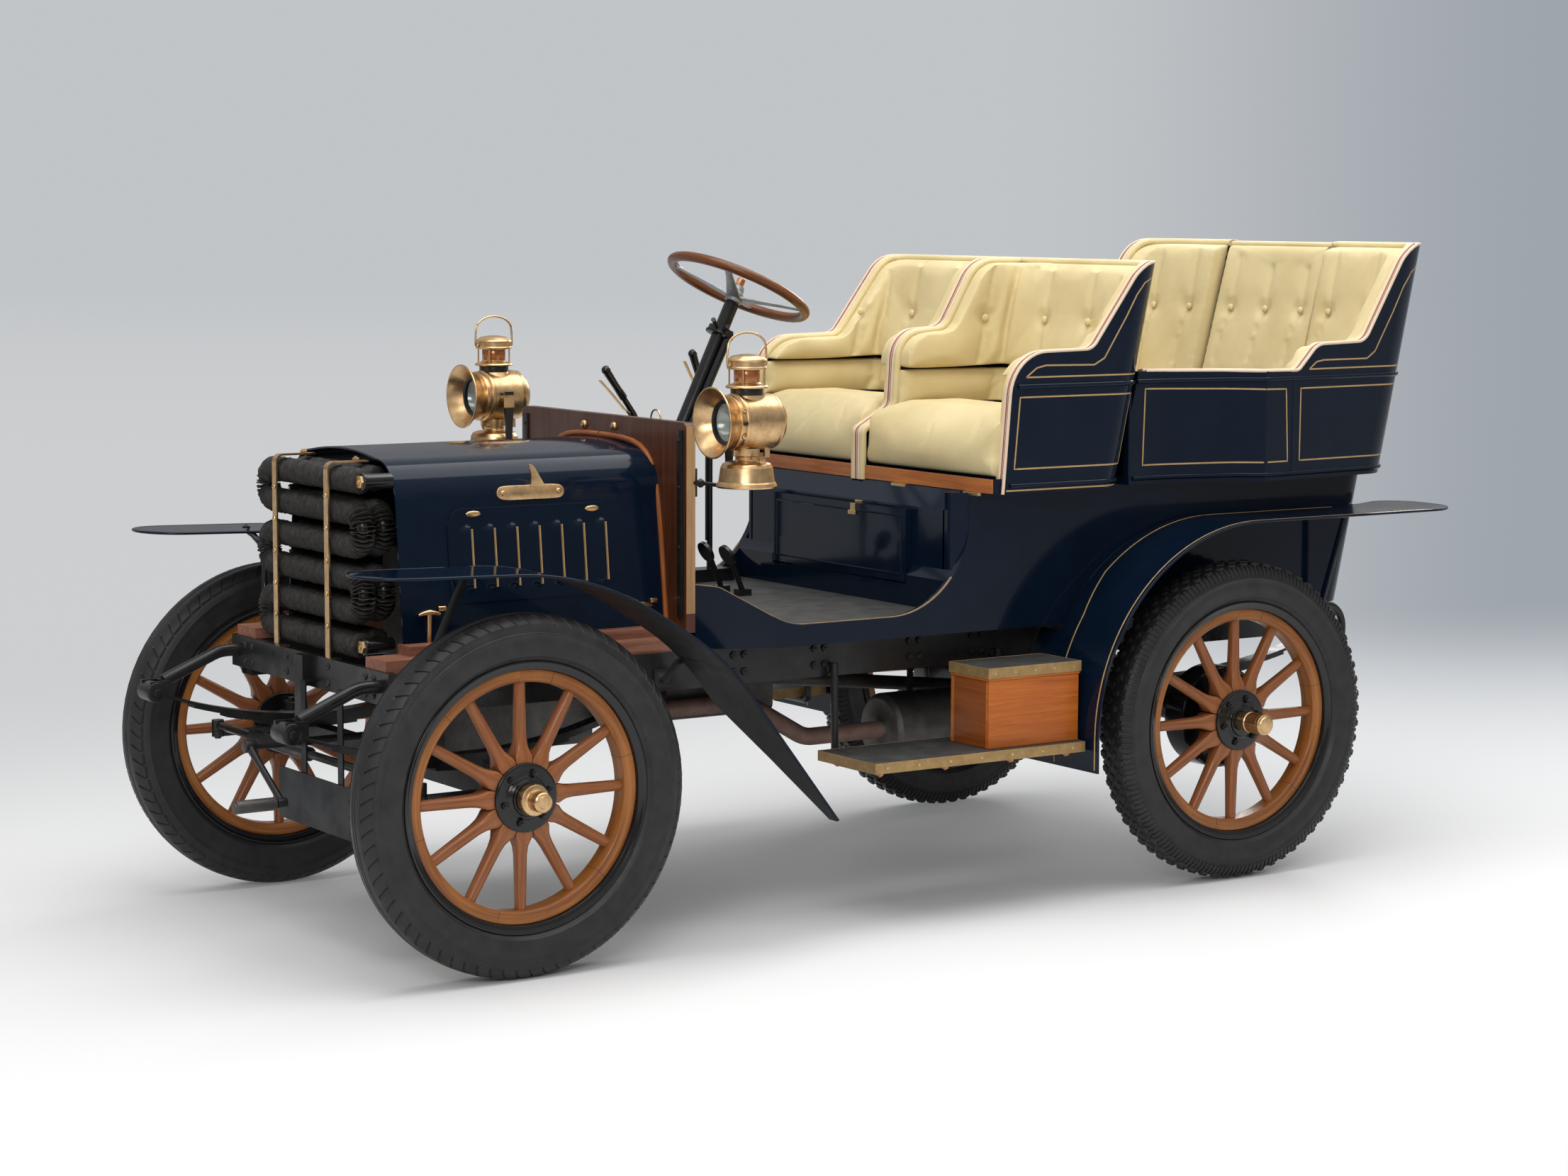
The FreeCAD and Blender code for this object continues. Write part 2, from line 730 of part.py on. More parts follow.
def bonnet():
    """Pressed sheet bonnet, open in front, below and at the dash."""
    bottom = size("bonnet_bottom") + 0.5
    half_path = [(300, bottom, 0), (258, 1112, 95)]
    path = half_path + [(0, size("bonnet_crown") + 8.6, 1000)]
    path += [(-across, height, radius) for across, height, radius in reversed(half_path)]
    walls = sheet_corners(path, size("sheet_thickness"))
    skin = front_prism(walls, size("bonnet_front_station"), size("dash_station"))
    louvre_panel = [(8, 795, 0), (8, 1012, 45), (418, 1012, 0), (470, 795, 0)]
    slope = math.atan2(42, 400)
    pieces = [skin]
    for side in (-1, 1):
        panel = side_prism(louvre_panel, 0, 5)
        panel.rotate(Vector(0, 0, bottom), Vector(1, 0, 0), math.degrees(slope))
        panel.translate(Vector(0, 298, 0))
        pieces.append(panel if side > 0 else mirrored(panel))
    return feature("bonnet", joined(pieces))


def bonnet_sills():
    """Wooden rails between chassis and bonnet."""
    lower = block(-208, 575, 292, 392, size("rail_top") + 5.5, 690)
    lower = lower.cut(block(-230, -190, 280, 420, 640, 665.5))
    upper = block(-125, 575, 286, 345, 690, size("bonnet_bottom"))
    packing = block(-190, 575, 345, 392, size("rail_top"), size("rail_top") + 6)
    sill = lower.fuse(packing).fuse(upper).removeSplitter()
    return feature("bonnet_sills", Part.makeCompound([sill, mirrored(sill)]))


def dashboard():
    """Upright mahogany board with rounded top corners."""
    body = new_body("Dashboard")
    board = new_sketch(body, "BoardOutline", "YZ_Plane")
    half = dim("dash_half_width")
    other = dim("dash_half_width", 0, -1)
    low = dim("dash_bottom")
    high = dim("dash_top")
    draw_outline(board, [(other, low), (half, low), (half, high), (other, high)])
    item = pad(body, "Board", board, "Sizes.dash_thickness")
    doc.recompute()
    tall = [f"Edge{number}" for number, edge in enumerate(item.Shape.Edges, 1)
            if abs(edge.CenterOfMass.z - size("dash_top")) < 1
            and abs(abs(edge.CenterOfMass.y) - size("dash_half_width")) < 1]
    fillet = body.newObject("PartDesign::Fillet", "TopCorners")
    fillet.Base = (item, tall)
    fillet.Radius = 18
    return keep(body, "dashboard", "Sizes.dash_station")


# ---------------------------------------------------------------- body
def rear_slope(height):
    """Station of the raked back at a height."""
    return 2573 + 0.229 * (height - 661)


def lower_path(height):
    """Plan of the lower body at a height, as one path round its back."""
    wide = size("body_half_width")
    return both_sides([(600, -390, 0), (765, -wide, 0), (rear_slope(height), -wide, 70)])


def body_shell():
    """Lower body: sides that dip at the doorway, seat riser, lockers and rear foot well."""
    low = size("body_bottom")
    floor = size("floor_top")
    high = size("seat_base_bottom")
    wall = size("body_wall")
    riser = size("riser_station")
    bulkhead = size("bulkhead_station")
    outline = [(590, low - 1, 0), (2800, low - 1, 0), (2800, high + 1, 0), (1331, high + 1, 0)]
    outline += [(1331, floor, 230), (800, floor, 180), (650, 806, 40), (600, 813, 0), (590, 813, 0)]
    outer = leaning_room(lower_path, 0, low, high).common(side_prism(outline, -500, 500))
    inside = leaning_room(lower_path, wall, low - 10, high + 10)
    front_well = inside.common(block(590, riser - wall, -500, 500, low - 5, high + 5))
    locker = inside.common(block(riser, bulkhead - wall, -500, 500, floor, high + 5))
    rear_space = inside.common(block(bulkhead, 2800, -500, 500, floor + 18, high + 5))
    locker_doorway = block(riser - wall - 1, riser + 1, -300, 300, 765, 955)
    rear_doorway = block(2540, 2720, -212, 212, floor + 18, high + 5)
    under_locker = block(riser + 20, bulkhead - wall, -340, 340, low - 5, floor - 22)
    under_well = block(bulkhead, 2540, -340, 340, low - 5, floor - 4)
    hollows = [front_well, locker, rear_space, locker_doorway, rear_doorway, under_locker, under_well]
    shell = outer.cut(hollows)
    return feature("body_shell", shell)


def floor_boards():
    """Front floor with its toe board against the dash."""
    floor = size("floor_top")
    inside = leaning_room(lower_path, size("body_wall"), floor - 22, floor)
    board = inside.common(block(600, size("riser_station") - size("body_wall"), -500, 500, 600, 800))
    return feature("floor_boards", board)


def locker_door():
    """Drop-down door in the seat riser."""
    body = doc.addObject("Part::Box", "LockerDoor")
    body.Length, body.Width, body.Height = 18, 590, 180
    riser = size("riser_station") - size("body_wall")
    return keep(body, "locker_door", str(riser), "-295", "770")


seat_back_lean = 0.219


def seat_path(height):
    """Plan of the front seat at a height, rounded at the back corners."""
    half = size("seat_half_width")
    back = 1752 + seat_back_lean * (height - size("seat_base_bottom"))
    return both_sides([(1300, -half, 0), (back, -half, 85)])


def seat_arm(back_low, back_high, low, high):
    """S-shaped arm line of the front seat, drawn out between two sides."""
    base = size("seat_base_bottom") - 1
    top = size("seat_top")
    corners = [(1366, base, 0), (1394, 1342, 110), (1636, 1347, 45)]
    corners += [(1794, top, 100), (back_high, top, 0), (back_low, base, 0)]
    return side_prism(corners, low, high)


def middle_arm(low, high):
    """Line of the arm between the seats, which comes down over the cushions to their front edge."""
    base = size("seat_base_bottom")
    top = size("seat_top")
    corners = [(1331, base, 0), (1331, 1130, 22), (1430, 1186, 30), (1441, 1374, 75)]
    corners += [(1588, 1384, 50), (1688, top, 95), (1862, top, 0), (1740, base, 0)]
    return side_prism(corners, low, high)


def front_seat_shell():
    """Base board, the wall round both seats with its S-shaped arms, and the arm between them."""
    half = size("seat_half_width")
    panel = size("panel_thickness")
    base = size("seat_base_bottom")
    board_top = size("seat_base_top")
    front = size("seat_front_station")
    wall = leaning_wall(seat_path, panel, base, size("seat_top") + 2)
    wall = wall.common(seat_arm(1900, 1900, -600, 600))
    board = plan_prism([(front, -half + 8, 12), (1660, -half + 8, 0), (1660, half - 8, 0), (front, half - 8, 12)],
                       base, board_top)
    board_rear = leaning_room(seat_path, panel / 2, base, board_top)
    board_rear = board_rear.common(block(1650, 1900, -600, 600, base - 5, 1100))
    return feature("front_seat_shell", joined([board, board_rear, wall, middle_arm(-12, 12)]))


def seat_gap(side, inner, outer):
    return sorted((side * inner, side * outer))


def front_seat_cushions():
    """Two plain cushion bodies, left and right of the middle arm."""
    top = size("seat_base_top")
    corners = [(1342, top, 20), (1346, 1185, 40), (1655, 1185, 0), (1655, top, 0)]
    pieces = [side_prism(corners, *seat_gap(side, 14, 546)) for side in (-1, 1)]
    return feature("front_seat_cushions", Part.makeCompound(pieces))


def seat_hollow(height):
    """Plan of the inside of the left front seat at a height."""
    panel = size("panel_thickness") + 0.5
    outer = size("seat_half_width") - panel
    back = 1752 + seat_back_lean * (height - size("seat_base_bottom")) - panel
    return [(1340, -outer, 0), (back, -outer, 62), (back, -12.5, 68), (1340, -12.5, 0)]


def front_seat_backs():
    """Squabs that wrap each front seat: a thick one under the arm line, a thinner one below its seam."""
    seam = 1283
    beside_wall = seat_arm(1900, 1900, -600, -150)
    beside_middle = middle_arm(-150, 0).fuse(block(1740, 1900, -150, 0, 1004, size("seat_top")))
    arm_room = beside_wall.fuse(beside_middle)
    arm_room.translate(Vector(5, 0, -4))
    pieces = []
    for thickness, low, high in ((55, seam, size("seat_top")), (30, 1188, seam - 1)):
        wrap = leaning_wall(seat_hollow, thickness, low, high).common(arm_room)
        pieces += wrap.Solids + mirrored(wrap).Solids
    return feature("front_seat_backs", Part.makeCompound(pieces))


def tub_path(height):
    """Plan of the rear tub at a height: waisted behind the seat, widest at the pillar, round corners."""
    back = rear_slope(height)
    half = [(1770, -527, 0), (1890, -521, 350), (2090, -562, 150), (2165, -613, 0), (back, -565, 110)]
    return both_sides(half)


def tub_arm_room():
    """All that lies under the arm line of the rear tub."""
    base = size("seat_base_bottom") - 1
    top = size("tub_top")
    line = [(1790, base, 0), (1790, 1165, 0), (1819, 1287, 0), (2283, 1281, 30)]
    line += [(2352, 1346, 60), (2528, 1350, 50)]
    line += [(2686, 1592, 110), (2790, top, 0), (2900, top, 0), (2900, base, 0)]
    return side_prism(line, -700, 700)


def tonneau_shell():
    """Rear tub: curved sides with S-shaped arms, the raked back either side of the doorway, seat boards."""
    panel = size("panel_thickness")
    base = size("seat_base_bottom")
    top = size("tub_top")
    bulkhead = size("bulkhead_station")
    wall = leaning_wall(tub_path, panel, base, top + 2).common(tub_arm_room())
    wall = wall.cut(block(2500, 2900, -212, 212, base - 5, top + 5))
    board = leaning_room(tub_path, panel / 2, base, base + 20)
    aisle = block(1700, 2190, -455, 455, base - 5, base + 25)
    between = block(2100, 2900, -235, 235, base - 5, base + 25)
    ahead = block(1700, 1790, -700, 700, base - 5, base + 25)
    board = board.cut([aisle, between, ahead])
    screen = block(bulkhead - 18, bulkhead, -514, 514, base, 1240)
    pieces = wall.Solids + board.Solids + [screen]
    return feature("tonneau_shell", joined(pieces))


def tonneau_door():
    """Rear entrance door, one flat raked panel from floor to top rail."""
    floor = size("floor_top") + 24
    top = size("tub_top") - 3
    panel = size("panel_thickness")
    corners = [(rear_slope(floor) - panel, floor, 0), (rear_slope(floor), floor, 0)]
    corners += [(rear_slope(top), top, 0)]
    corners.append((rear_slope(top) - panel, top, 0))
    return feature("tonneau_door", side_prism(corners, -206, 206))


def rear_seat_cushions():
    """Two plain cushion bodies, one in each rear corner."""
    low = size("seat_base_bottom") + 20.3
    back = rear_slope(low) - size("panel_thickness") - 1
    corners = [(2195, low, 0), (2195, 1200, 40), (back, 1200, 0), (back, low, 0)]
    room = leaning_room(tub_path, size("panel_thickness") + 0.5, low - 10, 1300)
    pieces = [side_prism(corners, *seat_gap(side, 240, 640)).common(room) for side in (-1, 1)]
    return feature("rear_seat_cushions", Part.makeCompound([solid for piece in pieces for solid in piece.Solids]))


def squab_corners(depth):
    """Side view of a squab lying against the raked back of the tub."""
    panel = size("panel_thickness") + 0.5
    low = 1205
    top = size("tub_top") - 6
    return [(rear_slope(low) - panel, low, 0), (rear_slope(top) - panel, top, 0),
            (rear_slope(top) - panel - depth * 0.6, top, 20), (rear_slope(low) - panel - depth, low, 20)]


def rear_seat_backs():
    """Squabs that wrap each rear corner, from the arm round to the doorway."""
    low, high = 1205, size("tub_top") - 6
    panel = size("panel_thickness") + 0.5
    inside = leaning_room(tub_path, panel + 62, low - 5, high + 5)
    room = leaning_room(tub_path, panel, low, high).cut(inside)
    arm_room = tub_arm_room()
    arm_room.translate(Vector(4, 0, -4))
    room = room.common(arm_room)
    pieces = []
    for side in (-1, 1):
        near, far = seat_gap(side, 222, 640)
        pieces += room.common(block(2296, 2900, near, far, low, high)).Solids
    return feature("rear_seat_backs", Part.makeCompound(pieces))


def tonneau_door_pad():
    """Squab on the inside of the rear door, tapered so that it swings clear."""
    pad_solid = side_prism(squab_corners(40), -198, 198)
    return feature("tonneau_door_pad", pad_solid)


# ---------------------------------------------------------------- fenders, steps, box
def stay(spots, radius=9):
    """Round iron through the spots, with a foot plate bolted to the outside of the rail."""
    rail = size("rail_half_width")
    x, y, z = spots[0]
    pieces = [rod(start, end, radius) for start, end in zip(spots, spots[1:])]
    pieces += [Part.makeSphere(radius, Vector(*spot)) for spot in spots[:-1]]
    pieces.append(block(x - 22, x + 22, rail, rail + 7, z - 22, z + 22))
    pieces.append(rod((x, rail + 3, z), (x, y, z), radius))
    return pieces


def front_fender(label, side):
    """Flat paddle over the wheel that sweeps down behind it, on two irons."""
    sheet_size = size("fender_thickness")
    path = [(812, 278, 0), (500, 682, 600), (161, 896, 700), (-385, 910, 0)]
    band = side_prism(sheet_corners(path, sheet_size), 400, 700)
    plan = [(-385, 680, 95), (-385, 490, 95), (100, 470, 0), (600, 470, 0), (700, 560, 40), (850, 680, 0)]
    wing = band.common(plan_prism(plan, 200, 1000))
    pieces = [wing]
    pieces += stay([(-110, 418, 620), (-112, 425, 700), (-60, 500, 898)])
    pieces += stay([(500, 418, 600), (520, 440, 640), (525, 500, 668)])
    whole = joined(pieces)
    return feature(label, whole if side > 0 else mirrored(whole))


def rear_fender(label, side):
    """Quarter-round over the wheel, from the running board to a flat tail."""
    crest = 917
    radius = crest - size("tyre_radius")
    front = size("wheelbase") - radius
    outer = size("fender_outer")
    inner = size("body_half_width") + 6
    apron = size("rail_half_width") + 8
    path = [(2785, crest, 0), (front, crest, radius), (front, 323, 0)]
    band = side_prism(sheet_corners(path, size("fender_thickness")), apron, outer)
    plan = [(2785, outer, 130), (2785, 450, 80), (2690, 450, 60), (2610, inner, 60), (1612, inner, 0)]
    plan += [(1612, apron, 0), (1500, apron, 0), (1500, outer, 0)]
    wing = band.common(plan_prism(plan, 200, 1000))
    whole = joined([wing] + stay([(2455, 418, 622), (2455, 508, 640), (2500, 560, 914)]))
    return feature(label, whole if side > 0 else mirrored(whole))


def running_boards():
    """Step boards with the hanger irons that carry them from the rails."""
    top = size("step_top")
    base = top - size("step_thickness")
    outer = size("step_outer")
    inner = size("step_inner")
    front = size("step_front_station")
    rear = size("step_rear_station")
    plan = [(front, inner, 0), (front, outer, 12), (rear, outer, 0), (rear, inner, 0)]
    pieces = [plan_prism(plan, base, top)]
    for station in (975, 1470):
        pieces += stay([(station, 420, 606), (station, 426, base - 8), (station, 610, base - 8)], 10)
    board = joined(pieces)
    return feature("running_boards", Part.makeCompound([board, mirrored(board)]))


def step_box():
    """Open wooden box on the left running board."""
    base = size("step_top")
    outer = block(size("box_front_station"), size("box_rear_station"), -650, -498, base, 564)
    inner = block(size("box_front_station") + 12, size("box_rear_station") - 12, -638, -510, base + 12, 570)
    return feature("step_box", outer.cut(inner))


def step_box_lid():
    """Hinged lid with a brass-banded edge."""
    lid = block(size("box_front_station") - 6, size("box_rear_station") + 4, -656, -496, 564.5, 596)
    return feature("step_box_lid", lid)


# ---------------------------------------------------------------- lamps and controls
def side_lamp(side):
    """Oil side lamp: flared bezel, barrel, chimney with its cap, oil font and bracket."""
    station = size("lamp_station")
    height = size("lamp_height")
    track = size("lamp_half_track")
    barrel_profile = [(0, 42, 0), (46, 42, 0), (54, 30, 0), (79, 0, 0)]
    barrel_profile += [(82, 0, 0), (82, 5, 0), (58, 42, 0), (65, 58, 0)]
    barrel_profile += [(65, 150, 20), (50, 178, 20), (0, 184, 0)]
    barrel = turned(barrel_profile, lambda spot: Vector(station + spot.y, track, height + spot.x),
                    (1, 0, 0), (0, track, height))
    middle = station + 96
    tower_profile = [(0, -150, 0), (70, -150, 0), (70, -142, 0), (60, -92, 8), (28, -88, 0)]
    tower_profile += [(28, 50, 0), (38, 60, 0), (38, 76, 0), (49, 78, 0), (49, 85, 0), (38, 87, 0)]
    tower_profile += [(38, 119, 0), (46, 121, 0), (46, 141, 0), (24, 151, 0), (0, 154, 0)]
    tower = turned(tower_profile, lambda spot: Vector(middle + spot.x, track, height + spot.y),
                   (0, 0, 1), (middle, track, 0))
    bail = bent_rod([(-53, 70, 0), (-53, 205, 51), (53, 205, 51), (53, 70, 0)], 3,
                    lambda spot: Vector(middle + spot.x, track, height + spot.y))
    inboard = track - 76
    upright = block(middle - 9, middle + 9, inboard - 4, inboard + 4, height - 150, height - 10)
    socket = block(middle - 12, middle + 12, inboard - 4, track - 60, height - 10, height + 14)
    arm = block(601, middle + 10, 388, inboard + 4, height - 160, height - 148)
    foot = block(600, 606, 360, 390, 1020, 1085)
    lamp = joined([barrel, tower, upright, socket, arm, foot])
    whole = Part.makeCompound([lamp, bail])
    return whole if side > 0 else mirrored(whole)


def side_lamps():
    lamps = side_lamp(-1).Solids + side_lamp(1).Solids
    return feature("side_lamps", Part.makeCompound(lamps))


column_top = (1164, 1484)


def column_spot(distance):
    """Point on the steering column's axis, a distance below the wheel's hub."""
    tilt = math.radians(size("column_tilt"))
    station, height = column_top
    return (station - distance * math.sin(tilt), size("column_side"), height - distance * math.cos(tilt))


def steering_column():
    """Column tube with its collar, quadrant and side tube, down to the steering box."""
    pieces = [rod(column_spot(45), column_spot(840), 19)]
    pieces.append(rod(column_spot(118), column_spot(136), 34))
    pieces.append(rod(column_spot(126), column_spot(700), 8))
    beside = column_spot(126)
    along, side, up = beside
    side_tube = rod((along + 10, side - 30, up - 5), (along - 240, side - 30, up - 500), 10)
    pieces.append(side_tube)
    pieces.append(block(along - 12, along + 12, side - 42, side, up - 12, up + 2))
    foot = column_spot(840)
    floor = size("floor_top")
    pieces.append(block(foot[0] - 42, foot[0] + 42, foot[1] - 38, foot[1] + 38, floor, floor + 34))
    return feature("steering_column", joined(pieces))


def steering_wheel():
    """Wooden rim on a four-armed spider."""
    rim = doc.addObject("Part::Torus", "SteeringRim")
    rim.setExpression("Radius1", "Sizes.steering_wheel_radius - Sizes.steering_rim_radius")
    rim.setExpression("Radius2", "Sizes.steering_rim_radius")
    boss = doc.addObject("Part::Cone", "SteeringBoss")
    boss.Radius1, boss.Radius2, boss.Height = 24, 18, 45
    boss.Placement = Placement(Vector(0, 0, -42), Rotation())
    arms = []
    for turn in range(4):
        arm = doc.addObject("Part::Cone", "SteeringArm")
        arm.Radius1, arm.Radius2 = 9, 5
        arm.Height = size("steering_wheel_radius") - size("steering_rim_radius")
        lean = Rotation(Vector(0, 0, 1), 45 + 90 * turn) * Rotation(Vector(0, 1, 0), 80)
        arm.Placement = Placement(Vector(0, 0, -30), lean)
        arms.append(arm)
    cap = doc.addObject("Part::Cylinder", "SteeringCap")
    cap.Radius, cap.Height = 12, 28
    cap.Placement = Placement(Vector(0, 0, 0), Rotation())
    whole = doc.addObject("Part::MultiFuse", "SteeringWheel")
    whole.Shapes = [rim, boss, cap] + arms
    keep(whole, "steering_wheel", str(column_top[0]), "Sizes.column_side", str(column_top[1]))
    whole.setExpression("Placement.Rotation.Pitch", "Sizes.column_tilt")
    return whole


# station of the foot, height of the bend, station and height of the grip's end, distance to the right
lever_table = [(915, 1150, 826, 1274, 400), (1165, 1150, 1112, 1308, 440)]


def driver_controls():
    """Hand levers outside the driver, and two pedals."""
    pieces = []
    for foot, bend, station, top, side in lever_table:
        path = [(foot, 735, 0), (foot, bend, 60), (station, top, 0)]
        pieces.append(bent_rod(path, 8, side_spot(side)))
        pieces.append(Part.makeSphere(12, Vector(station, side, top)))
    pieces.append(block(850, 1210, 388, 452, 712, 745))
    controls = joined(pieces).Solids
    for side in (190, 90):
        stem = rod((1043, side, 722), (1000, side, 822), 7)
        foot = block(1025, 1061, side - 14, side + 14, 712, 728)
        plate = rod((992, side, 815), (1000, side, 819), 28)
        controls += joined([stem, foot, plate]).Solids
    return feature("driver_controls", Part.makeCompound(controls))



leaf_springs()
chassis_frame()
front_axle()
steering_knuckle("steering_knuckle_left", -1)
steering_knuckle("steering_knuckle_right", 1)
tie_rod()
rear_axle()
engine_block()
transmission()
exhaust()
starting_handle()
number_plate()
radiator()
radiator_straps()
bonnet()
bonnet_sills()
dashboard()
body_shell()
floor_boards()
locker_door()
front_seat_shell()
front_seat_cushions()
front_seat_backs()
tonneau_shell()
tonneau_door()
rear_seat_cushions()
rear_seat_backs()
tonneau_door_pad()
for hand, hand_side in (("left", -1), ("right", 1)):
    front_fender("front_fender_" + hand, hand_side)
    rear_fender("rear_fender_" + hand, hand_side)
running_boards()
step_box()
step_box_lid()
side_lamps()
steering_column()
steering_wheel()
driver_controls()

# ---------------------------------------------------------------- checks and export
doc.recompute()
for item in doc.Objects:
    if any(flag in item.State for flag in ("Invalid", "Error")):
        raise RuntimeError(f"{item.Label} failed to build")
os.makedirs("parts", exist_ok=True)
for item in sub_parts:
    shape = item.Shape
    if shape.isNull() or not shape.isValid() or shape.Volume <= 0:
        raise RuntimeError(f"{item.Label} is not a sound solid")
    shape.exportStep(f"parts/{item.Label}.step")
    print(f"{item.Label}: {len(shape.Solids)} solids, {shape.Volume / 1e6:.2f} litres")
print(f"{len(sub_parts)} sub-parts written")
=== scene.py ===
import bpy
import bmesh
import math
from mathutils import Matrix, Vector
from mathutils.bvhtree import BVHTree


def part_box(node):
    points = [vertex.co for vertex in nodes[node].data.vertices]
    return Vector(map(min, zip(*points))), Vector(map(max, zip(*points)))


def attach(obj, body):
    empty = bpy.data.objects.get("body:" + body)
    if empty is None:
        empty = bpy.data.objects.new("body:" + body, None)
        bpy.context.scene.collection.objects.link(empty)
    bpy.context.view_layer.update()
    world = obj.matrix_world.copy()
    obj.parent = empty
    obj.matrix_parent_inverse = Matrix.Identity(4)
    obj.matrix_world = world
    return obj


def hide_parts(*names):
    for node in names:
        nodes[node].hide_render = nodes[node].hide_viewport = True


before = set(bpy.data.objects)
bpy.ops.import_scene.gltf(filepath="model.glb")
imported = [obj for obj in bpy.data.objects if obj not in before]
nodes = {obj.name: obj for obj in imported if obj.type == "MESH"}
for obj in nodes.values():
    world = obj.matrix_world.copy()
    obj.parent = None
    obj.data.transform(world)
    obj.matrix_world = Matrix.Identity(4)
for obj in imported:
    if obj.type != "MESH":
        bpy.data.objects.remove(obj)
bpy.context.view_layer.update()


def middle(node):
    low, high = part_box(node)
    return Vector([(low[i] + high[i]) / 2 for i in range(3)])


# Pieces are drawn in millimetres: x behind the front axle, y to the car's right, z above the ground.
milli = 0.001
shrink = Matrix.Scale(milli, 4)
carMatrix = Matrix.Translation((middle("tyre_front_left").x, 0, 0)) @ shrink
local = carMatrix.inverted()
forward, upwards, rearward = Vector((-1, 0, 0)), Vector((0, 0, 1)), Vector((1, 0, 0))
corners = ["front_left", "front_right", "rear_left", "rear_right"]
weld = 1e-5      # points nearer than this are one, in metres


def wheelMatrix(corner):
    turn = math.pi if corner.endswith("right") else 0
    return Matrix.Translation(middle("tyre_" + corner)) @ Matrix.Rotation(turn, 4, "Z") @ shrink


# shader groups shared by several finishes
def newGroup(name, inputs, outputs):
    group = bpy.data.node_groups.new(name, "ShaderNodeTree")
    for label, kind, value in inputs:
        socket = group.interface.new_socket(name=label, in_out="INPUT", socket_type=kind)
        if value is not None:
            socket.default_value = value
    for label, kind in outputs:
        group.interface.new_socket(name=label, in_out="OUTPUT", socket_type=kind)
    return group, group.nodes.new("NodeGroupInput"), group.nodes.new("NodeGroupOutput")


def feed(tree, node, inputs):
    for key, value in inputs.items():
        if isinstance(value, bpy.types.NodeSocket):
            tree.links.new(value, node.inputs[key])
        else:
            node.inputs[key].default_value = value
    return node


def put(tree, kind, inputs=None, **settings):
    node = tree.nodes.new(kind)
    for key, value in settings.items():
        setattr(node, key, value)
    return feed(tree, node, inputs or {})


def reckon(tree, operation, *values):
    # a sum on numbers
    return put(tree, "ShaderNodeMath", dict(enumerate(values)), operation=operation).outputs[0]


def distanceAlong(tree, place, way):
    # how far a place lies along a direction
    return put(tree, "ShaderNodeVectorMath", {0: place, 1: way}, operation="DOT_PRODUCT").outputs["Value"]


def ranged(tree, value, low, high, toLow=0.0, toHigh=1.0, **settings):
    inputs = {"Value": value, "From Min": low, "From Max": high, "To Min": toLow, "To Max": toHigh}
    return put(tree, "ShaderNodeMapRange", inputs, **settings).outputs[0]


def blend(tree, share, one, other):
    # a mix of two colours
    ends = [end if isinstance(end, bpy.types.NodeSocket) else (*end, 1) for end in (one, other)]
    return put(tree, "ShaderNodeMix", {0: share, 6: ends[0], 7: ends[1]}, data_type="RGBA").outputs[2]


def average(tree, share, one, other):
    return put(tree, "ShaderNodeMix", {0: share, 2: one, 3: other}, data_type="FLOAT").outputs[0]


def noise(tree, place, scale, detail, **more):
    return put(tree, "ShaderNodeTexNoise", {"Vector": place, "Scale": scale, "Detail": detail, **more}).outputs["Fac"]


def objectPlace(tree):
    return put(tree, "ShaderNodeTexCoord").outputs["Object"]


def grainGroup():
    group, start, end = newGroup("woodGrain", [("Grain", "NodeSocketVector", None),
                                               ("Fineness", "NodeSocketFloat", 1.0),
                                               ("Dark", "NodeSocketColor", (0.1, 0.03, 0.01, 1)),
                                               ("Light", "NodeSocketColor", (0.5, 0.2, 0.05, 1))],
                                               [("Color", "NodeSocketColor"), ("Height", "NodeSocketFloat")])
    scaled = put(group, "ShaderNodeVectorMath", {0: start.outputs["Grain"], "Scale": start.outputs["Fineness"]},
                 operation="SCALE").outputs[0]
    stretched = put(group, "ShaderNodeMapping", {"Vector": scaled, "Scale": (4.5, 95.0, 95.0)}).outputs[0]
    bands = noise(group, stretched, 1.0, 5.0, Roughness=0.6, Distortion=0.6)
    longer = put(group, "ShaderNodeMapping", {"Vector": scaled, "Scale": (16.0, 560.0, 560.0)}).outputs[0]
    mixed = average(group, 0.35, bands, noise(group, longer, 1.0, 3.0, Roughness=0.7))
    blended = average(group, 0.22, mixed, noise(group, scaled, 5.0, 2.0))
    tone = blend(group, ranged(group, blended, 0.40, 0.60), start.outputs["Dark"], start.outputs["Light"])
    group.links.new(tone, end.inputs["Color"])
    group.links.new(mixed, end.inputs["Height"])
    return group


def ageGroup():
    group, start, end = newGroup("ageing", [("Place", "NodeSocketVector", None), ("Size", "NodeSocketFloat", 9.0),
                                            ("Low", "NodeSocketFloat", 0.0), ("High", "NodeSocketFloat", 1.0)],
                                            [("Value", "NodeSocketFloat")])
    broad = noise(group, start.outputs["Place"], start.outputs["Size"], 6.0, Roughness=0.62)
    levelled = ranged(group, broad, 0.32, 0.68, start.outputs["Low"], start.outputs["High"])
    group.links.new(levelled, end.inputs["Value"])
    return group


def pebbleGroup():
    group, start, end = newGroup("pebble", [("Place", "NodeSocketVector", None), ("Size", "NodeSocketFloat", 500.0)],
                                 [("Height", "NodeSocketFloat")])
    cells = put(group, "ShaderNodeTexVoronoi", {"Vector": start.outputs["Place"], "Scale": start.outputs["Size"]})
    mixed = average(group, 0.5, cells.outputs["Distance"], noise(group, start.outputs["Place"], 90.0, 4.0))
    group.links.new(mixed, end.inputs["Height"])
    return group


woodGrain, ageing, pebble = grainGroup(), ageGroup(), pebbleGroup()


def useGroup(tree, group, inputs):
    node = tree.nodes.new("ShaderNodeGroup")
    node.node_tree = group
    return feed(tree, node, inputs)


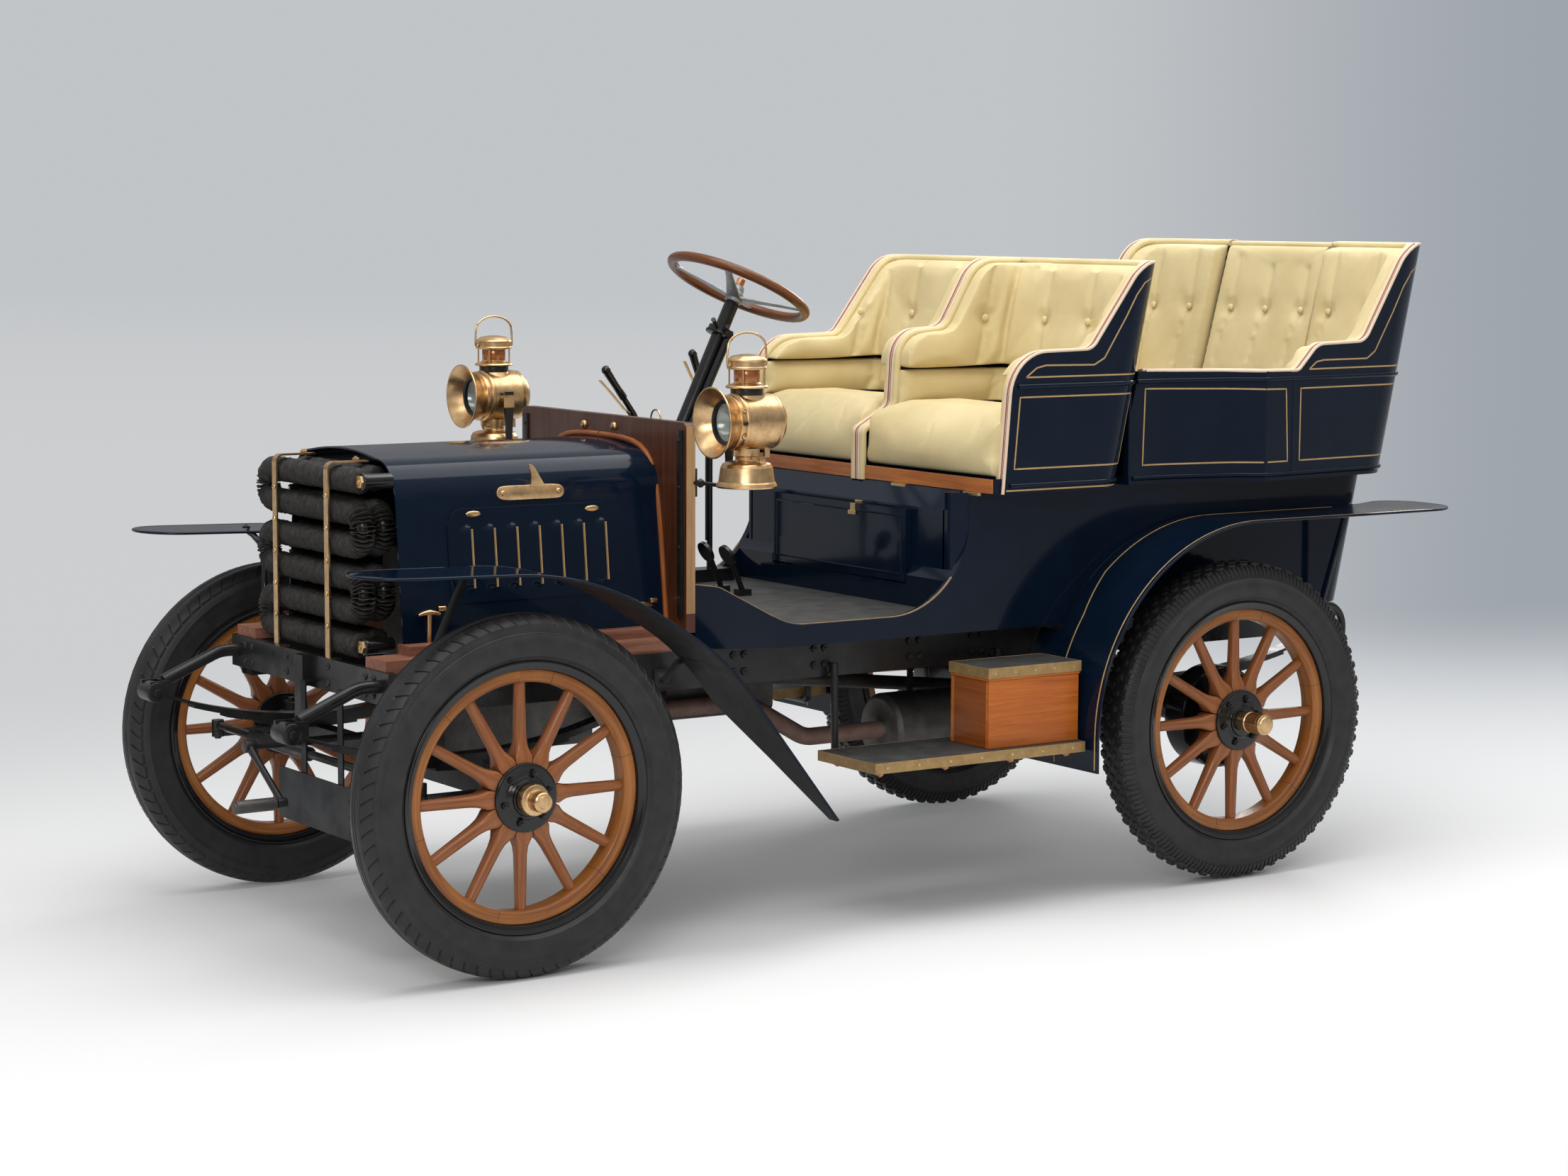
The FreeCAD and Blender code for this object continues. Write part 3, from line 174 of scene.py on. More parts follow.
def aged(tree, place, size, low=0.0, high=1.0):
    return useGroup(tree, ageing, {"Place": place, "Size": size, "Low": low, "High": high}).outputs["Value"]


def newFinish(name, constants):
    material = bpy.data.materials.new(name)
    material.use_nodes = True
    tree = material.node_tree
    tree.nodes.clear()
    output = tree.nodes.new("ShaderNodeOutputMaterial")
    shader = put(tree, "ShaderNodeBsdfPrincipled", constants)
    tree.links.new(shader.outputs[0], output.inputs["Surface"])
    return material, tree, shader


def dress(tree, shader, colour, roughness, height=None, strength=0.0, distance=0.0):
    inputs = {"Base Color": colour, "Roughness": roughness}
    if strength:
        bump = put(tree, "ShaderNodeBump", {"Height": height, "Strength": strength, "Distance": distance})
        inputs["Normal"] = bump.outputs[0]
    feed(tree, shader, inputs)


def coated(name, fresh, worn, rough, roughWorn, size=7.0, metallic=0.0, coat=0.0, specular=0.5, bump=0.0, extra=None):
    material, tree, shader = newFinish(name, {"Metallic": metallic, "Coat Weight": coat, "Coat Roughness": 0.04,
                                              "Specular IOR Level": specular, **(extra or {})})
    place = objectPlace(tree)
    age = aged(tree, place, size, rough, roughWorn)
    dress(tree, shader, blend(tree, aged(tree, place, size * 1.7), fresh, worn), age, age, bump, 0.002)
    return material


def timber(name, dark, light, fineness=1.0, rough=0.3, coat=0.4, grainFrom="Object", turn=(0, 0, 0)):
    material, tree, shader = newFinish(name, {"Coat Weight": coat * 0.5, "Coat Roughness": 0.12,
                                              "Specular IOR Level": 0.25})
    source = put(tree, "ShaderNodeTexCoord").outputs[grainFrom]
    lined = put(tree, "ShaderNodeMapping", {"Vector": source, "Rotation": turn}).outputs[0]
    grain = useGroup(tree, woodGrain, {"Grain": lined, "Fineness": fineness, "Dark": (*dark, 1), "Light": (*light, 1)})
    dress(tree, shader, grain.outputs["Color"], aged(tree, objectPlace(tree), 14.0, rough, rough + 0.2),
          grain.outputs["Height"], 0.25, 0.0008)
    return material


def hide(name, light, deep, bump=0.35):
    material, tree, shader = newFinish(name, {"Sheen Weight": 0.12, "Sheen Roughness": 0.5, "Specular IOR Level": 0.35})
    place = objectPlace(tree)
    grain = useGroup(tree, pebble, {"Place": place, "Size": 620.0})
    dress(tree, shader, blend(tree, aged(tree, place, 5.0), light, deep), aged(tree, place, 11.0, 0.42, 0.6),
          grain.outputs["Height"], bump, 0.0009)
    return material


finishes = {
    "navy": coated("navyPaint", (0.0022, 0.0070, 0.0175), (0.0034, 0.0092, 0.022), 0.08, 0.16, coat=0.12,
                   specular=0.14),
    "goldLine": coated("goldLine", (0.50, 0.33, 0.15), (0.42, 0.26, 0.11), 0.35, 0.5, size=30),
    "iron": coated("blackIron", (0.008, 0.008, 0.009), (0.016, 0.015, 0.014), 0.22, 0.42, size=18, bump=0.12,
                   specular=0.4),
    "enamel": coated("blackEnamel", (0.005, 0.005, 0.006), (0.009, 0.009, 0.010), 0.1, 0.22, size=14, coat=0.2,
                     specular=0.35),
    "rubber": coated("tyreRubber", (0.011, 0.011, 0.012), (0.022, 0.021, 0.021), 0.4, 0.58, size=16, specular=0.4,
                     bump=0.08),
    "brass": coated("agedBrass", (0.74, 0.50, 0.26), (0.50, 0.32, 0.16), 0.22, 0.42, size=24, metallic=1.0),
    "brightBrass": coated("stripBrass", (0.76, 0.56, 0.29), (0.58, 0.41, 0.20), 0.26, 0.44, size=30, metallic=1.0),
    "brassStrip": coated("brassBand", (0.46, 0.30, 0.12), (0.32, 0.20, 0.085), 0.35, 0.55, size=26, metallic=0.6),
    "fenderInside": coated("fenderInside", (0.014, 0.014, 0.015), (0.022, 0.022, 0.022), 0.5, 0.65, size=12,
                           specular=0.3),
    "copper": coated("copperNut", (0.55, 0.26, 0.13), (0.36, 0.17, 0.09), 0.3, 0.5, size=30, metallic=1.0),
    "alloy": coated("castAlloy", (0.34, 0.35, 0.36), (0.24, 0.25, 0.26), 0.4, 0.55, size=22, metallic=0.7),
    "lens": coated("lampReflector", (0.52, 0.55, 0.52), (0.40, 0.44, 0.42), 0.12, 0.25, size=20, metallic=0.9),
    "pane": coated("lampPane", (0.50, 0.54, 0.52), (0.42, 0.46, 0.44), 0.05, 0.1, size=20, specular=0.6,
                   extra={"Alpha": 0.28}),
    "amber": coated("chimneyPane", (0.55, 0.20, 0.06), (0.30, 0.12, 0.05), 0.15, 0.3, size=40, metallic=0.6),
    "gill": coated("gilledBlack", (0.006, 0.006, 0.006), (0.030, 0.026, 0.021), 0.5, 0.7, size=60, specular=0.4),
    "steel": coated("dullSteel", (0.07, 0.07, 0.07), (0.12, 0.11, 0.10), 0.4, 0.65, size=15, metallic=0.7, bump=0.15),
    "rust": coated("rustyPipe", (0.13, 0.075, 0.06), (0.20, 0.12, 0.095), 0.5, 0.75, size=18, metallic=0.3, bump=0.25),
    "lino": coated("linoleum", (0.022, 0.023, 0.023), (0.050, 0.050, 0.047), 0.45, 0.65, size=10, bump=0.1),
    "edgeTan": coated("edgeTan", (0.30, 0.20, 0.10), (0.20, 0.13, 0.065), 0.4, 0.6, size=30),
    "plate": coated("plateBlack", (0.004, 0.005, 0.007), (0.008, 0.009, 0.011), 0.3, 0.5, size=12, specular=0.2),
    "lace": coated("laceTrim", (0.30, 0.10, 0.075), (0.20, 0.06, 0.05), 0.6, 0.8, size=60, bump=0.3),
    "wheelWood": timber("spokeAsh", (0.17, 0.052, 0.018), (0.35, 0.130, 0.044), 1.0, 0.25, 0.35, "UV"),
    "felloeWood": timber("felloeAsh", (0.19, 0.058, 0.012), (0.38, 0.145, 0.034), 0.8, 0.25, 0.35, "UV"),
    "mahogany": timber("dashMahogany", (0.047, 0.013, 0.005), (0.098, 0.029, 0.011), 1.0, 0.3, 0.5,
                       turn=(0, math.pi / 2, 0)),
    "moulding": timber("dashMoulding", (0.20, 0.05, 0.012), (0.40, 0.13, 0.035), 1.2, 0.28, 0.5, "UV"),
    "sillWood": timber("sillBeech", (0.16, 0.060, 0.035), (0.31, 0.14, 0.088), 1.0, 0.42, 0.1),
    "seatWood": timber("seatBoard", (0.28, 0.075, 0.012), (0.48, 0.155, 0.030), 0.7, 0.25, 0.4,
                       turn=(0, 0, math.pi / 2)),
    "boxWood": timber("boxCedar", (0.36, 0.082, 0.010), (0.55, 0.155, 0.022), 0.6, 0.3, 0.3),
    "boxEnd": timber("boxCedarEnd", (0.19, 0.042, 0.006), (0.29, 0.080, 0.012), 0.6, 0.3, 0.3,
                     turn=(0, 0, math.pi / 2)),
    "dashEdge": timber("dashEdge", (0.30, 0.16, 0.07), (0.46, 0.28, 0.13), 0.8, 0.35, 0.2, turn=(0, math.pi / 2, 0)),
    "rimWood": timber("rimWalnut", (0.085, 0.026, 0.009), (0.20, 0.070, 0.022), 0.8, 0.22, 0.3, "UV"),
    "hide": hide("creamHide", (0.72, 0.60, 0.33), (0.62, 0.495, 0.245)),
    "welt": hide("paleWelt", (0.78, 0.62, 0.46), (0.70, 0.53, 0.38), 0.2),
}
print("finishes ready")

# drawing helpers
def newBag():
    return {"verts": [], "faces": [], "slots": [], "uvs": []}


def add(bag, verts, faces, slot=0, uvs=None):
    base = len(bag["verts"])
    bag["verts"] += [Vector(v) for v in verts]
    bag["faces"] += [[base + i for i in face] for face in faces]
    bag["slots"] += [slot] * len(faces)
    bag["uvs"] += uvs or [(v[0] * milli, v[1] * milli) for v in verts]


def lay(bag, shape, slot=0, where=None):
    # adds a bag or (verts, faces, uvs), its points moved by where(x, y, z)
    verts, faces, uvs = (shape["verts"], shape["faces"], None) if isinstance(shape, dict) else (*shape, None)[:3]
    add(bag, [where(*v) for v in verts] if where else verts, faces, slot, uvs)


def girdle(rows, size, closed=False):
    # the faces between rings of points that follow each other, with caps unless the last ring meets the first
    faces = [] if closed else [list(range(size))[::-1], [(rows - 1) * size + k for k in range(size)]]
    for i in range(rows if closed else rows - 1):
        j = (i + 1) % rows
        for k in range(size):
            m = (k + 1) % size
            faces.append([i * size + k, i * size + m, j * size + m, j * size + k])
    return faces


def circle(radius, count):
    return [(radius * math.cos(2 * math.pi * k / count), radius * math.sin(2 * math.pi * k / count))
            for k in range(count)]


def bagMesh(name, bag, materials, matrix, closed=True, angle=38):
    mesh = bpy.data.meshes.new(name)
    mesh.from_pydata([matrix @ v for v in bag["verts"]], [], bag["faces"])
    for material in materials:
        mesh.materials.append(finishes[material])
    mesh.polygons.foreach_set("material_index", bag["slots"])
    layer = mesh.uv_layers.new(name="grain")
    for loop in mesh.loops:
        layer.data[loop.index].uv = bag["uvs"][loop.vertex_index]
    work = bmesh.new()
    work.from_mesh(mesh)
    bmesh.ops.remove_doubles(work, verts=work.verts, dist=weld / 10)
    bmesh.ops.dissolve_degenerate(work, edges=work.edges, dist=weld / 100)
    if closed:
        bmesh.ops.recalc_face_normals(work, faces=work.faces)
    work.to_mesh(mesh)
    work.free()
    mesh.shade_smooth()
    mesh.set_sharp_from_angle(angle=math.radians(angle))
    return mesh


def show(name, mesh):
    piece = bpy.data.objects.new(name, mesh)
    bpy.context.scene.collection.objects.link(piece)
    return piece


def register(piece, body, replaced=()):
    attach(piece, body)
    if replaced:
        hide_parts(*replaced)
    return piece


def makePiece(name, bag, materials, body, matrix=None, replaced=(), bevel=0.0, closed=True, angle=38):
    piece = show(name, bagMesh(name, bag, materials, matrix or carMatrix, closed, angle))
    if bevel:
        mod = piece.modifiers.new("Edges", "BEVEL")
        mod.width, mod.segments, mod.limit_method, mod.angle_limit = bevel * milli, 2, "ANGLE", math.radians(40)
    return register(piece, body, replaced)


def softened(profile, steps=4):
    points = []
    count = len(profile)
    for index, corner in enumerate(profile):
        here = Vector(corner[:2])
        radius = corner[2] if len(corner) > 2 else 0
        if not radius or index in (0, count - 1):
            points.append(tuple(here))
            continue
        before = (Vector(profile[index - 1][:2]) - here).normalized()
        after = (Vector(profile[index + 1][:2]) - here).normalized()
        half = before.angle(after) / 2
        if half > math.pi / 2 - 0.01:
            points.append(tuple(here))
            continue
        reach = radius / math.tan(half)
        centre = here + (before + after).normalized() * (radius / math.sin(half))
        start, end = here + before * reach - centre, here + after * reach - centre
        turn = start.angle_signed(end)
        for step in range(steps + 1):
            spin = -turn * step / steps
            points.append(tuple(centre + Vector((start.x * math.cos(spin) - start.y * math.sin(spin),
                                                 start.x * math.sin(spin) + start.y * math.cos(spin)))))
    return points


def lathe(profile, count=64, closed=False):
    # turned round the Y axis: each point is (radius, along)
    verts, faces, uvs = [], [], []
    rows = []
    run = 0.0
    last = profile[0]
    for point in profile:
        run += math.dist(point[:2], last[:2])
        last = point
        radius, along = point[:2]
        if radius < 1e-4:
            rows.append([len(verts)] * count)
            verts.append((0, along, 0))
            uvs.append((0, run * milli))
        else:
            rows.append(list(range(len(verts), len(verts) + count)))
            for i in range(count):
                turn = 2 * math.pi * i / count
                verts.append((radius * math.sin(turn), along, radius * math.cos(turn)))
                uvs.append((turn * radius * milli, run * milli))
    pairs = list(zip(rows, rows[1:]))
    if closed:
        pairs.append((rows[-1], rows[0]))
    for a, b in pairs:
        for i in range(count):
            j = (i + 1) % count
            ring = [a[i], a[j], b[j], b[i]]
            faces.append([v for k, v in enumerate(ring) if v not in ring[:k]])
    return verts, faces, uvs


def turned(profile, steps, count, closed=False):
    return lathe(softened(profile, steps), count, closed)


def frames(points, closed=False, up=None):
    count = len(points)
    tangents = []
    for i in range(count):
        a = points[i - 1] if closed or i else points[0]
        b = points[(i + 1) % count] if closed or i < count - 1 else points[-1]
        tangents.append((Vector(b) - Vector(a)).normalized())
    normal = Vector(up) if up else (upwards if abs(tangents[0].z) < 0.9 else Vector((0, 1, 0)))
    normals = []
    for tangent in tangents:
        normal = (normal - tangent * normal.dot(tangent)).normalized()
        normals.append(normal)
    return tangents, normals


def sweep(points, section, normals=None, closed=False, up=None, scales=None):
    # the section's points are (across, out), out along the normal
    points = [Vector(p) for p in points]
    tangents, own = frames(points, closed, up)
    normals = [normals] * len(points) if isinstance(normals, Vector) else normals or own
    size = len(section)
    verts, uvs, run = [], [], 0.0
    for i, (point, tangent, normal) in enumerate(zip(points, tangents, normals)):
        run += (point - points[i - 1]).length if i else 0
        across = tangent.cross(normal).normalized()
        scale = scales[i] if scales else 1
        for k, (a, o) in enumerate(section):
            verts.append(point + across * a * scale + normal * o * scale)
            uvs.append((run * milli, k * 0.004))
    return verts, girdle(len(points), size, closed), uvs


def ways(points):
    # the direction of an open path at each of its points
    points = [Vector(p) for p in points]
    last = len(points) - 1
    return [(points[min(i + 1, last)] - points[max(i - 1, 0)]).normalized() for i in range(last + 1)]


def ringSection(radius, count=12):
    return circle(radius, count)


def halfRound(width, height, count=6):
    return [(-width / 2 * math.cos(math.pi * k / count), height * math.sin(math.pi * k / count))
            for k in range(count + 1)]


def tube(points, radius, count=12, closed=False, up=None, scales=None):
    return sweep(points, ringSection(radius, count), closed=closed, up=up, scales=scales)


def plate(width, height, depth, chamfer=0.0):
    # a plate with softened edges, centred on its back face, its front towards -Y
    c = chamfer
    rings = [(0, 0), (0, depth - c), (c, depth)]
    verts = []
    for inset, out in rings:
        w, h = width / 2 - inset, height / 2 - inset
        verts += [(-w, -out, -h), (w, -out, -h), (w, -out, h), (-w, -out, h)]
    return verts, girdle(3, 4)


def boxEdges(across, up):
    # the four sides of an upright rectangle, each as its two ends (y, z)
    path = [(across[0], up[0]), (across[1], up[0]), (across[1], up[1]), (across[0], up[1])]
    return list(zip(path, path[1:] + path[:1]))


def spread(path, step, closed=False):
    # points at an even step along straight runs
    points = []
    count = len(path)
    for i in range(count if closed else count - 1):
        a, b = Vector(path[i]), Vector(path[(i + 1) % count])
        parts = max(1, round((b - a).length / step))
        points += [a + (b - a) * k / parts for k in range(parts)]
    if not closed:
        points.append(Vector(path[-1]))
    return points


# Geometry Nodes trees for what repeats
def newTree(name, inputs):
    tree = bpy.data.node_groups.new(name, "GeometryNodeTree")
    for label, kind in [("Geometry", "Geometry"), *inputs, ("Finish", "Material")]:
        tree.interface.new_socket(name=label, in_out="INPUT", socket_type="NodeSocket" + kind)
    tree.interface.new_socket(name="Geometry", in_out="OUTPUT", socket_type="NodeSocketGeometry")
    start = tree.nodes.new("NodeGroupInput")
    return tree, start, start.outputs


def endTree(tree, start, instances):
    real = put(tree, "GeometryNodeRealizeInstances", {"Geometry": instances})
    dressed = put(tree, "GeometryNodeSetMaterial", {"Geometry": real.outputs[0], "Material": start.outputs["Finish"]})
    put(tree, "NodeGroupOutput", {"Geometry": dressed.outputs[0]})
    return tree


def placeItems(tree, start, points, turn):
    item = put(tree, "GeometryNodeObjectInfo", {"Object": start.outputs["Item"]})
    return put(tree, "GeometryNodeInstanceOnPoints", {"Points": points, "Instance": item.outputs["Geometry"],
            "Rotation": turn}).outputs[0]


def eulerTurn(tree, angles):
    return put(tree, "FunctionNodeEulerToRotation", {0: angles}).outputs[0]


def turnTo(tree, way):
    return put(tree, "FunctionNodeAlignRotationToVector", {"Vector": way}, axis="Z").outputs[0]


def ringTree():
    tree, start, given = newTree("ringOfItems", [("Item", "Object"), ("Count", "Int"), ("Phase", "Float")])
    line = put(tree, "GeometryNodeMeshLine", {"Count": given["Count"], "Offset": (0, 0, 0)})
    index = put(tree, "GeometryNodeInputIndex")
    part = reckon(tree, "DIVIDE", index.outputs[0], given["Count"])
    turn = put(tree, "ShaderNodeCombineXYZ", {"Y": reckon(tree, "MULTIPLY_ADD", part, 2 * math.pi, given["Phase"])})
    return endTree(tree, start, placeItems(tree, start, line.outputs[0], eulerTurn(tree, turn.outputs[0])))


def spotTree():
    tree, start, given = newTree("itemsOnSpots", [("Item", "Object")])
    aim = put(tree, "GeometryNodeInputNamedAttribute", {"Name": "aim"}, data_type="FLOAT_VECTOR")
    return endTree(tree, start, placeItems(tree, start, given["Geometry"], turnTo(tree, aim.outputs[0])))


def rowTree():
    tree, start, given = newTree("rowOfItems", [("Item", "Object"), ("Count", "Int"), ("Start", "Vector"),
                                                ("Step", "Vector"), ("Turn", "Vector")])
    line = put(tree, "GeometryNodeMeshLine", {"Count": given["Count"], "Start Location": given["Start"],
                                              "Offset": given["Step"]})
    return endTree(tree, start, placeItems(tree, start, line.outputs[0], eulerTurn(tree, given["Turn"])))


def pathTree():
    tree, start, given = newTree("itemsAlongPath", [("Item", "Object"), ("Path", "Object"), ("Spacing", "Float"),
            ("Lean", "Float")])
    path = put(tree, "GeometryNodeObjectInfo", {"Object": given["Path"]})
    curve = put(tree, "GeometryNodeMeshToCurve", {"Mesh": path.outputs["Geometry"]})
    even = put(tree, "GeometryNodeResampleCurve", {"Curve": curve.outputs[0], "Length": given["Spacing"]},
               mode="LENGTH")
    tangent = put(tree, "GeometryNodeInputTangent")
    least = reckon(tree, "MULTIPLY", given["Lean"], -1.0)
    low, high = (put(tree, "ShaderNodeCombineXYZ", dict.fromkeys("XYZ", end)).outputs[0]
                 for end in (least, given["Lean"]))
    shake = put(tree, "FunctionNodeRandomValue", {"Min": low, "Max": high, "Seed": 7}, data_type="FLOAT_VECTOR")
    way = put(tree, "ShaderNodeVectorMath", {0: tangent.outputs[0], 1: shake.outputs[0]}, operation="ADD")
    placed = placeItems(tree, start, even.outputs[0], turnTo(tree, way.outputs[0]))
    roll = put(tree, "FunctionNodeRandomValue", {"Min": (0, 0, 0), "Max": (0, 0, 6.283), "Seed": 3},
               data_type="FLOAT_VECTOR")
    spun = put(tree, "GeometryNodeRotateInstances", {"Instances": placed, "Rotation": roll.outputs[0]})
    return endTree(tree, start, spun.outputs[0])


trees = {"ring": ringTree(), "spots": spotTree(), "row": rowTree(), "path": pathTree()}


def grow(name, treeName, inputs, carrier=None):
    # runs a tree on a carrier mesh and gives back its result as a plain mesh
    holder = show(name + "_holder", carrier or bpy.data.meshes.new(name))
    mod = holder.modifiers.new("Grow", "NODES")
    mod.node_group = trees[treeName]
    for entry in trees[treeName].interface.items_tree:
        if entry.in_out == "INPUT" and entry.name in inputs:
            mod[entry.identifier] = inputs[entry.name]
    graph = bpy.context.evaluated_depsgraph_get()
    result = bpy.data.meshes.new_from_object(holder.evaluated_get(graph), depsgraph=graph)
    bpy.data.objects.remove(holder)
    result.name = name
    return result


def itemOf(name, bag, material, angle=38):
    return show(name, bagMesh(name, bag, [material], shrink, angle=angle))


def drop(*items):
    for item in items:
        bpy.data.objects.remove(item)


def ringPiece(name, bag, count, material, body, matrix, phase=0.0, replaced=()):
    item = itemOf(name + "_item", bag, material)
    mesh = grow(name, "ring", {"Item": item, "Count": count, "Phase": phase, "Finish": finishes[material]})
    drop(item)
    mesh.transform(matrix @ shrink.inverted())
    return register(show(name, mesh), body, replaced)


def spotPiece(name, bag, spots, material, body):
    # spots are (place, aim); the item's own Z goes along the aim
    item = itemOf(name + "_item", bag, material)
    carrier = bpy.data.meshes.new(name)
    carrier.from_pydata([carMatrix @ Vector(place) for place, _ in spots], [], [])
    aim = carrier.attributes.new("aim", "FLOAT_VECTOR", "POINT")
    for i, (_, way) in enumerate(spots):
        aim.data[i].vector = Vector(way).normalized()
    mesh = grow(name, "spots", {"Item": item, "Finish": finishes[material]}, carrier)
    drop(item)
    return register(show(name, mesh), body)


def hexNut(across=16, depth=7, stud=4.0):
    bag = newBag()
    radius = across / math.sqrt(3)
    rings = [(radius, 0), (radius, depth - 1.2), (radius * 0.9, depth)]
    add(bag, [(x, y, z) for r, z in rings for x, y in circle(r, 6)], girdle(3, 6))
    lay(bag, lathe([(0, depth - 1), (stud, depth - 1), (stud, depth + 2.2), (stud * 0.7, depth + 3), (0, depth + 3)],
                   10), 0, lambda x, y, z: (x, z, y))
    return bag


def domeHead(radius=5, height=2.4, count=12):
    bag = newBag()
    profile = [(0, 0), (radius, 0), (radius, height * 0.3), (radius * 0.78, height * 0.75),
               (radius * 0.4, height * 0.97), (0, height)]
    lay(bag, lathe(profile, count), 0, lambda x, y, z: (x, z, y))
    return bag


# surfaces of the CAD nodes, for trim that lies on them
surfaces = {}
outside = 1500.0     # a distance from the middle that is beyond every piece


def surface(node):
    if node not in surfaces:
        mesh = nodes[node].data
        surfaces[node] = BVHTree.FromPolygons([v.co.copy() for v in mesh.vertices],
                                              [p.vertices[:] for p in mesh.polygons])
    return surfaces[node]


def onSide(node, x, z, side=-1):
    start = carMatrix @ Vector((x, side * outside, z))
    place, normal, _, _ = surface(node).ray_cast(start, Vector((0, -side, 0)))
    if place is None:
        return None
    if normal.y * side < 0:
        normal = -normal
    return local @ place, normal


def sideRun(node, path, step=14, side=-1, closed=False):
    # a path of (x, z) laid on the side of a node: points and their normals
    flat = spread([(x, z, 0) for x, z in path], step, closed)
    points, normals = [], []
    for spot in flat:
        hit = onSide(node, spot.x, spot.y, side)
        if hit:
            points.append(hit[0])
            normals.append(hit[1])
    return points, normals


lineSection = [(-1.9, -0.5), (1.9, -0.5), (1.9, 0.45), (-1.9, 0.45)]


def layLine(bag, node, path, section=None, step=14, side=-1, closed=False, slot=0):
    points, normals = sideRun(node, path, step, side, closed)
    if len(points) > 1:
        lay(bag, sweep(points, section or lineSection, normals, closed), slot)
print("drawing helpers and trees ready")

# camera, floor, lamps
view = {"place": (-3523, -6961, 1703), "yaw": 33.64, "pitch": 6.6, "roll": 0.22, "lens": 76.6}


def buildCamera():
    yaw, pitch, roll = (math.radians(view[k]) for k in ("yaw", "pitch", "roll"))
    ahead = Vector((math.sin(yaw) * math.cos(pitch), math.cos(yaw) * math.cos(pitch), -math.sin(pitch)))
    right = Vector((math.cos(yaw), -math.sin(yaw), 0))
    above = right.cross(ahead)
    across = math.cos(roll) * right + math.sin(roll) * above
    upward = across.cross(ahead)
    turn = Matrix((across, upward, -ahead)).transposed().to_4x4()
    data = bpy.data.cameras.new("Camera")
    data.lens, data.sensor_width, data.sensor_fit = view["lens"], 36, "HORIZONTAL"
    data.clip_end = 200
    camera = show("Camera", data)
    camera.matrix_world = Matrix.Translation(carMatrix @ Vector(view["place"])) @ turn
    bpy.context.scene.camera = camera


# tones of the painted backdrop: middle grey near, deep grey further off, side the painted shade at the far right
studio = {"floor": 0.81, "near": -1.2, "far": 5.0, "half": 60, "world": 0.50, "middle": (0.61, 0.62, 0.63),
          "deep": (0.535, 0.555, 0.575), "side": (0.345, 0.375, 0.415)}
# place, aim, size, power
softboxes = {"topSoftbox": ((0.3, -0.5, 4.3), (0.2, -0.1, 0.6), (6.4, 3.0), 172),
             "keySoftbox": ((-4.6, -5.4, 3.4), (0.0, -0.3, 0.8), (2.6, 2.0), 118),
             "rimSoftbox": ((4.6, 3.2, 3.0), (0.8, 0.2, 0.9), (2.4, 1.8), 80)}
ahead = Vector((math.sin(math.radians(view["yaw"])), math.cos(math.radians(view["yaw"])), 0))
rightward = Vector((ahead.y, -ahead.x, 0))


def sideShade(tree, place, tone):
    # painted shade: the backdrop's colour darkens towards the far right
    least = reckon(tree, "MAXIMUM", distanceAlong(tree, place, ahead), 0.35)
    part = reckon(tree, "DIVIDE", distanceAlong(tree, place, rightward), least)
    return blend(tree, ranged(tree, part, 0.06, 0.235, interpolation_type="SMOOTHSTEP"), tone, studio["side"])


def buildFloor():
    pale = (studio["floor"],) * 3 + (1,)
    floor, tree, shader = newFinish("paleFloor", {"Base Color": pale, "Roughness": 0.9, "Specular IOR Level": 0.1})
    place = objectPlace(tree)
    # the far floor fades into an emission glow, a painted backdrop that darkens further off and carries painted shade
    # towards the far right; only the near floor takes the lamps' real light and shadow
    slanted = distanceAlong(tree, place, ahead - rightward * 0.42)
    away = ranged(tree, slanted, studio["near"], studio["far"], interpolation_type="SMOOTHSTEP")
    further = ranged(tree, distanceAlong(tree, place, ahead), 4.0, 60.0, interpolation_type="SMOOTHSTEP")
    tone = blend(tree, further, studio["middle"], studio["deep"])
    fromViewer = put(tree, "ShaderNodeVectorMath", {0: place, 1: ahead * 7.8}, operation="ADD")
    glow = put(tree, "ShaderNodeEmission", {"Color": sideShade(tree, fromViewer.outputs[0], tone), "Strength": 1.0})
    mixed = put(tree, "ShaderNodeMixShader", {0: away, 1: shader.outputs[0], 2: glow.outputs[0]})
    output = next(n for n in tree.nodes if n.type == "OUTPUT_MATERIAL")
    tree.links.new(mixed.outputs[0], output.inputs["Surface"])
    mesh = bpy.data.meshes.new("floor")
    half = studio["half"]
    mesh.from_pydata([(-half, -half, 0), (half, -half, 0), (half, half, 0), (-half, half, 0)], [], [[0, 1, 2, 3]])
    mesh.materials.append(floor)
    show("floor", mesh)


def buildWorld():
    world = bpy.data.worlds.new("studioWorld")
    bpy.context.scene.world = world
    world.use_nodes = True
    tree = world.node_tree
    tree.nodes.clear()
    way = put(tree, "ShaderNodeTexCoord").outputs["Generated"]
    # camera and transmission rays see a painted backdrop, deep grey with painted shade towards the far right; other
    # rays get white light, stronger towards the zenith
    seen = put(tree, "ShaderNodeBackground", {"Color": sideShade(tree, way, studio["deep"]), "Strength": 1.0})
    split = put(tree, "ShaderNodeSeparateXYZ", {0: way})
    zenith = ranged(tree, split.outputs["Z"], 0.0, 0.8, 0.35, 1.5)
    lit = reckon(tree, "MULTIPLY", zenith, studio["world"])
    soft = put(tree, "ShaderNodeBackground", {"Color": (1, 1, 1, 1), "Strength": lit})
    path = put(tree, "ShaderNodeLightPath")
    shown = reckon(tree, "MAXIMUM", path.outputs["Is Camera Ray"], path.outputs["Is Transmission Ray"])
    both = put(tree, "ShaderNodeMixShader", {0: shown, 1: soft.outputs[0], 2: seen.outputs[0]})
    put(tree, "ShaderNodeOutputWorld", {"Surface": both.outputs[0]})


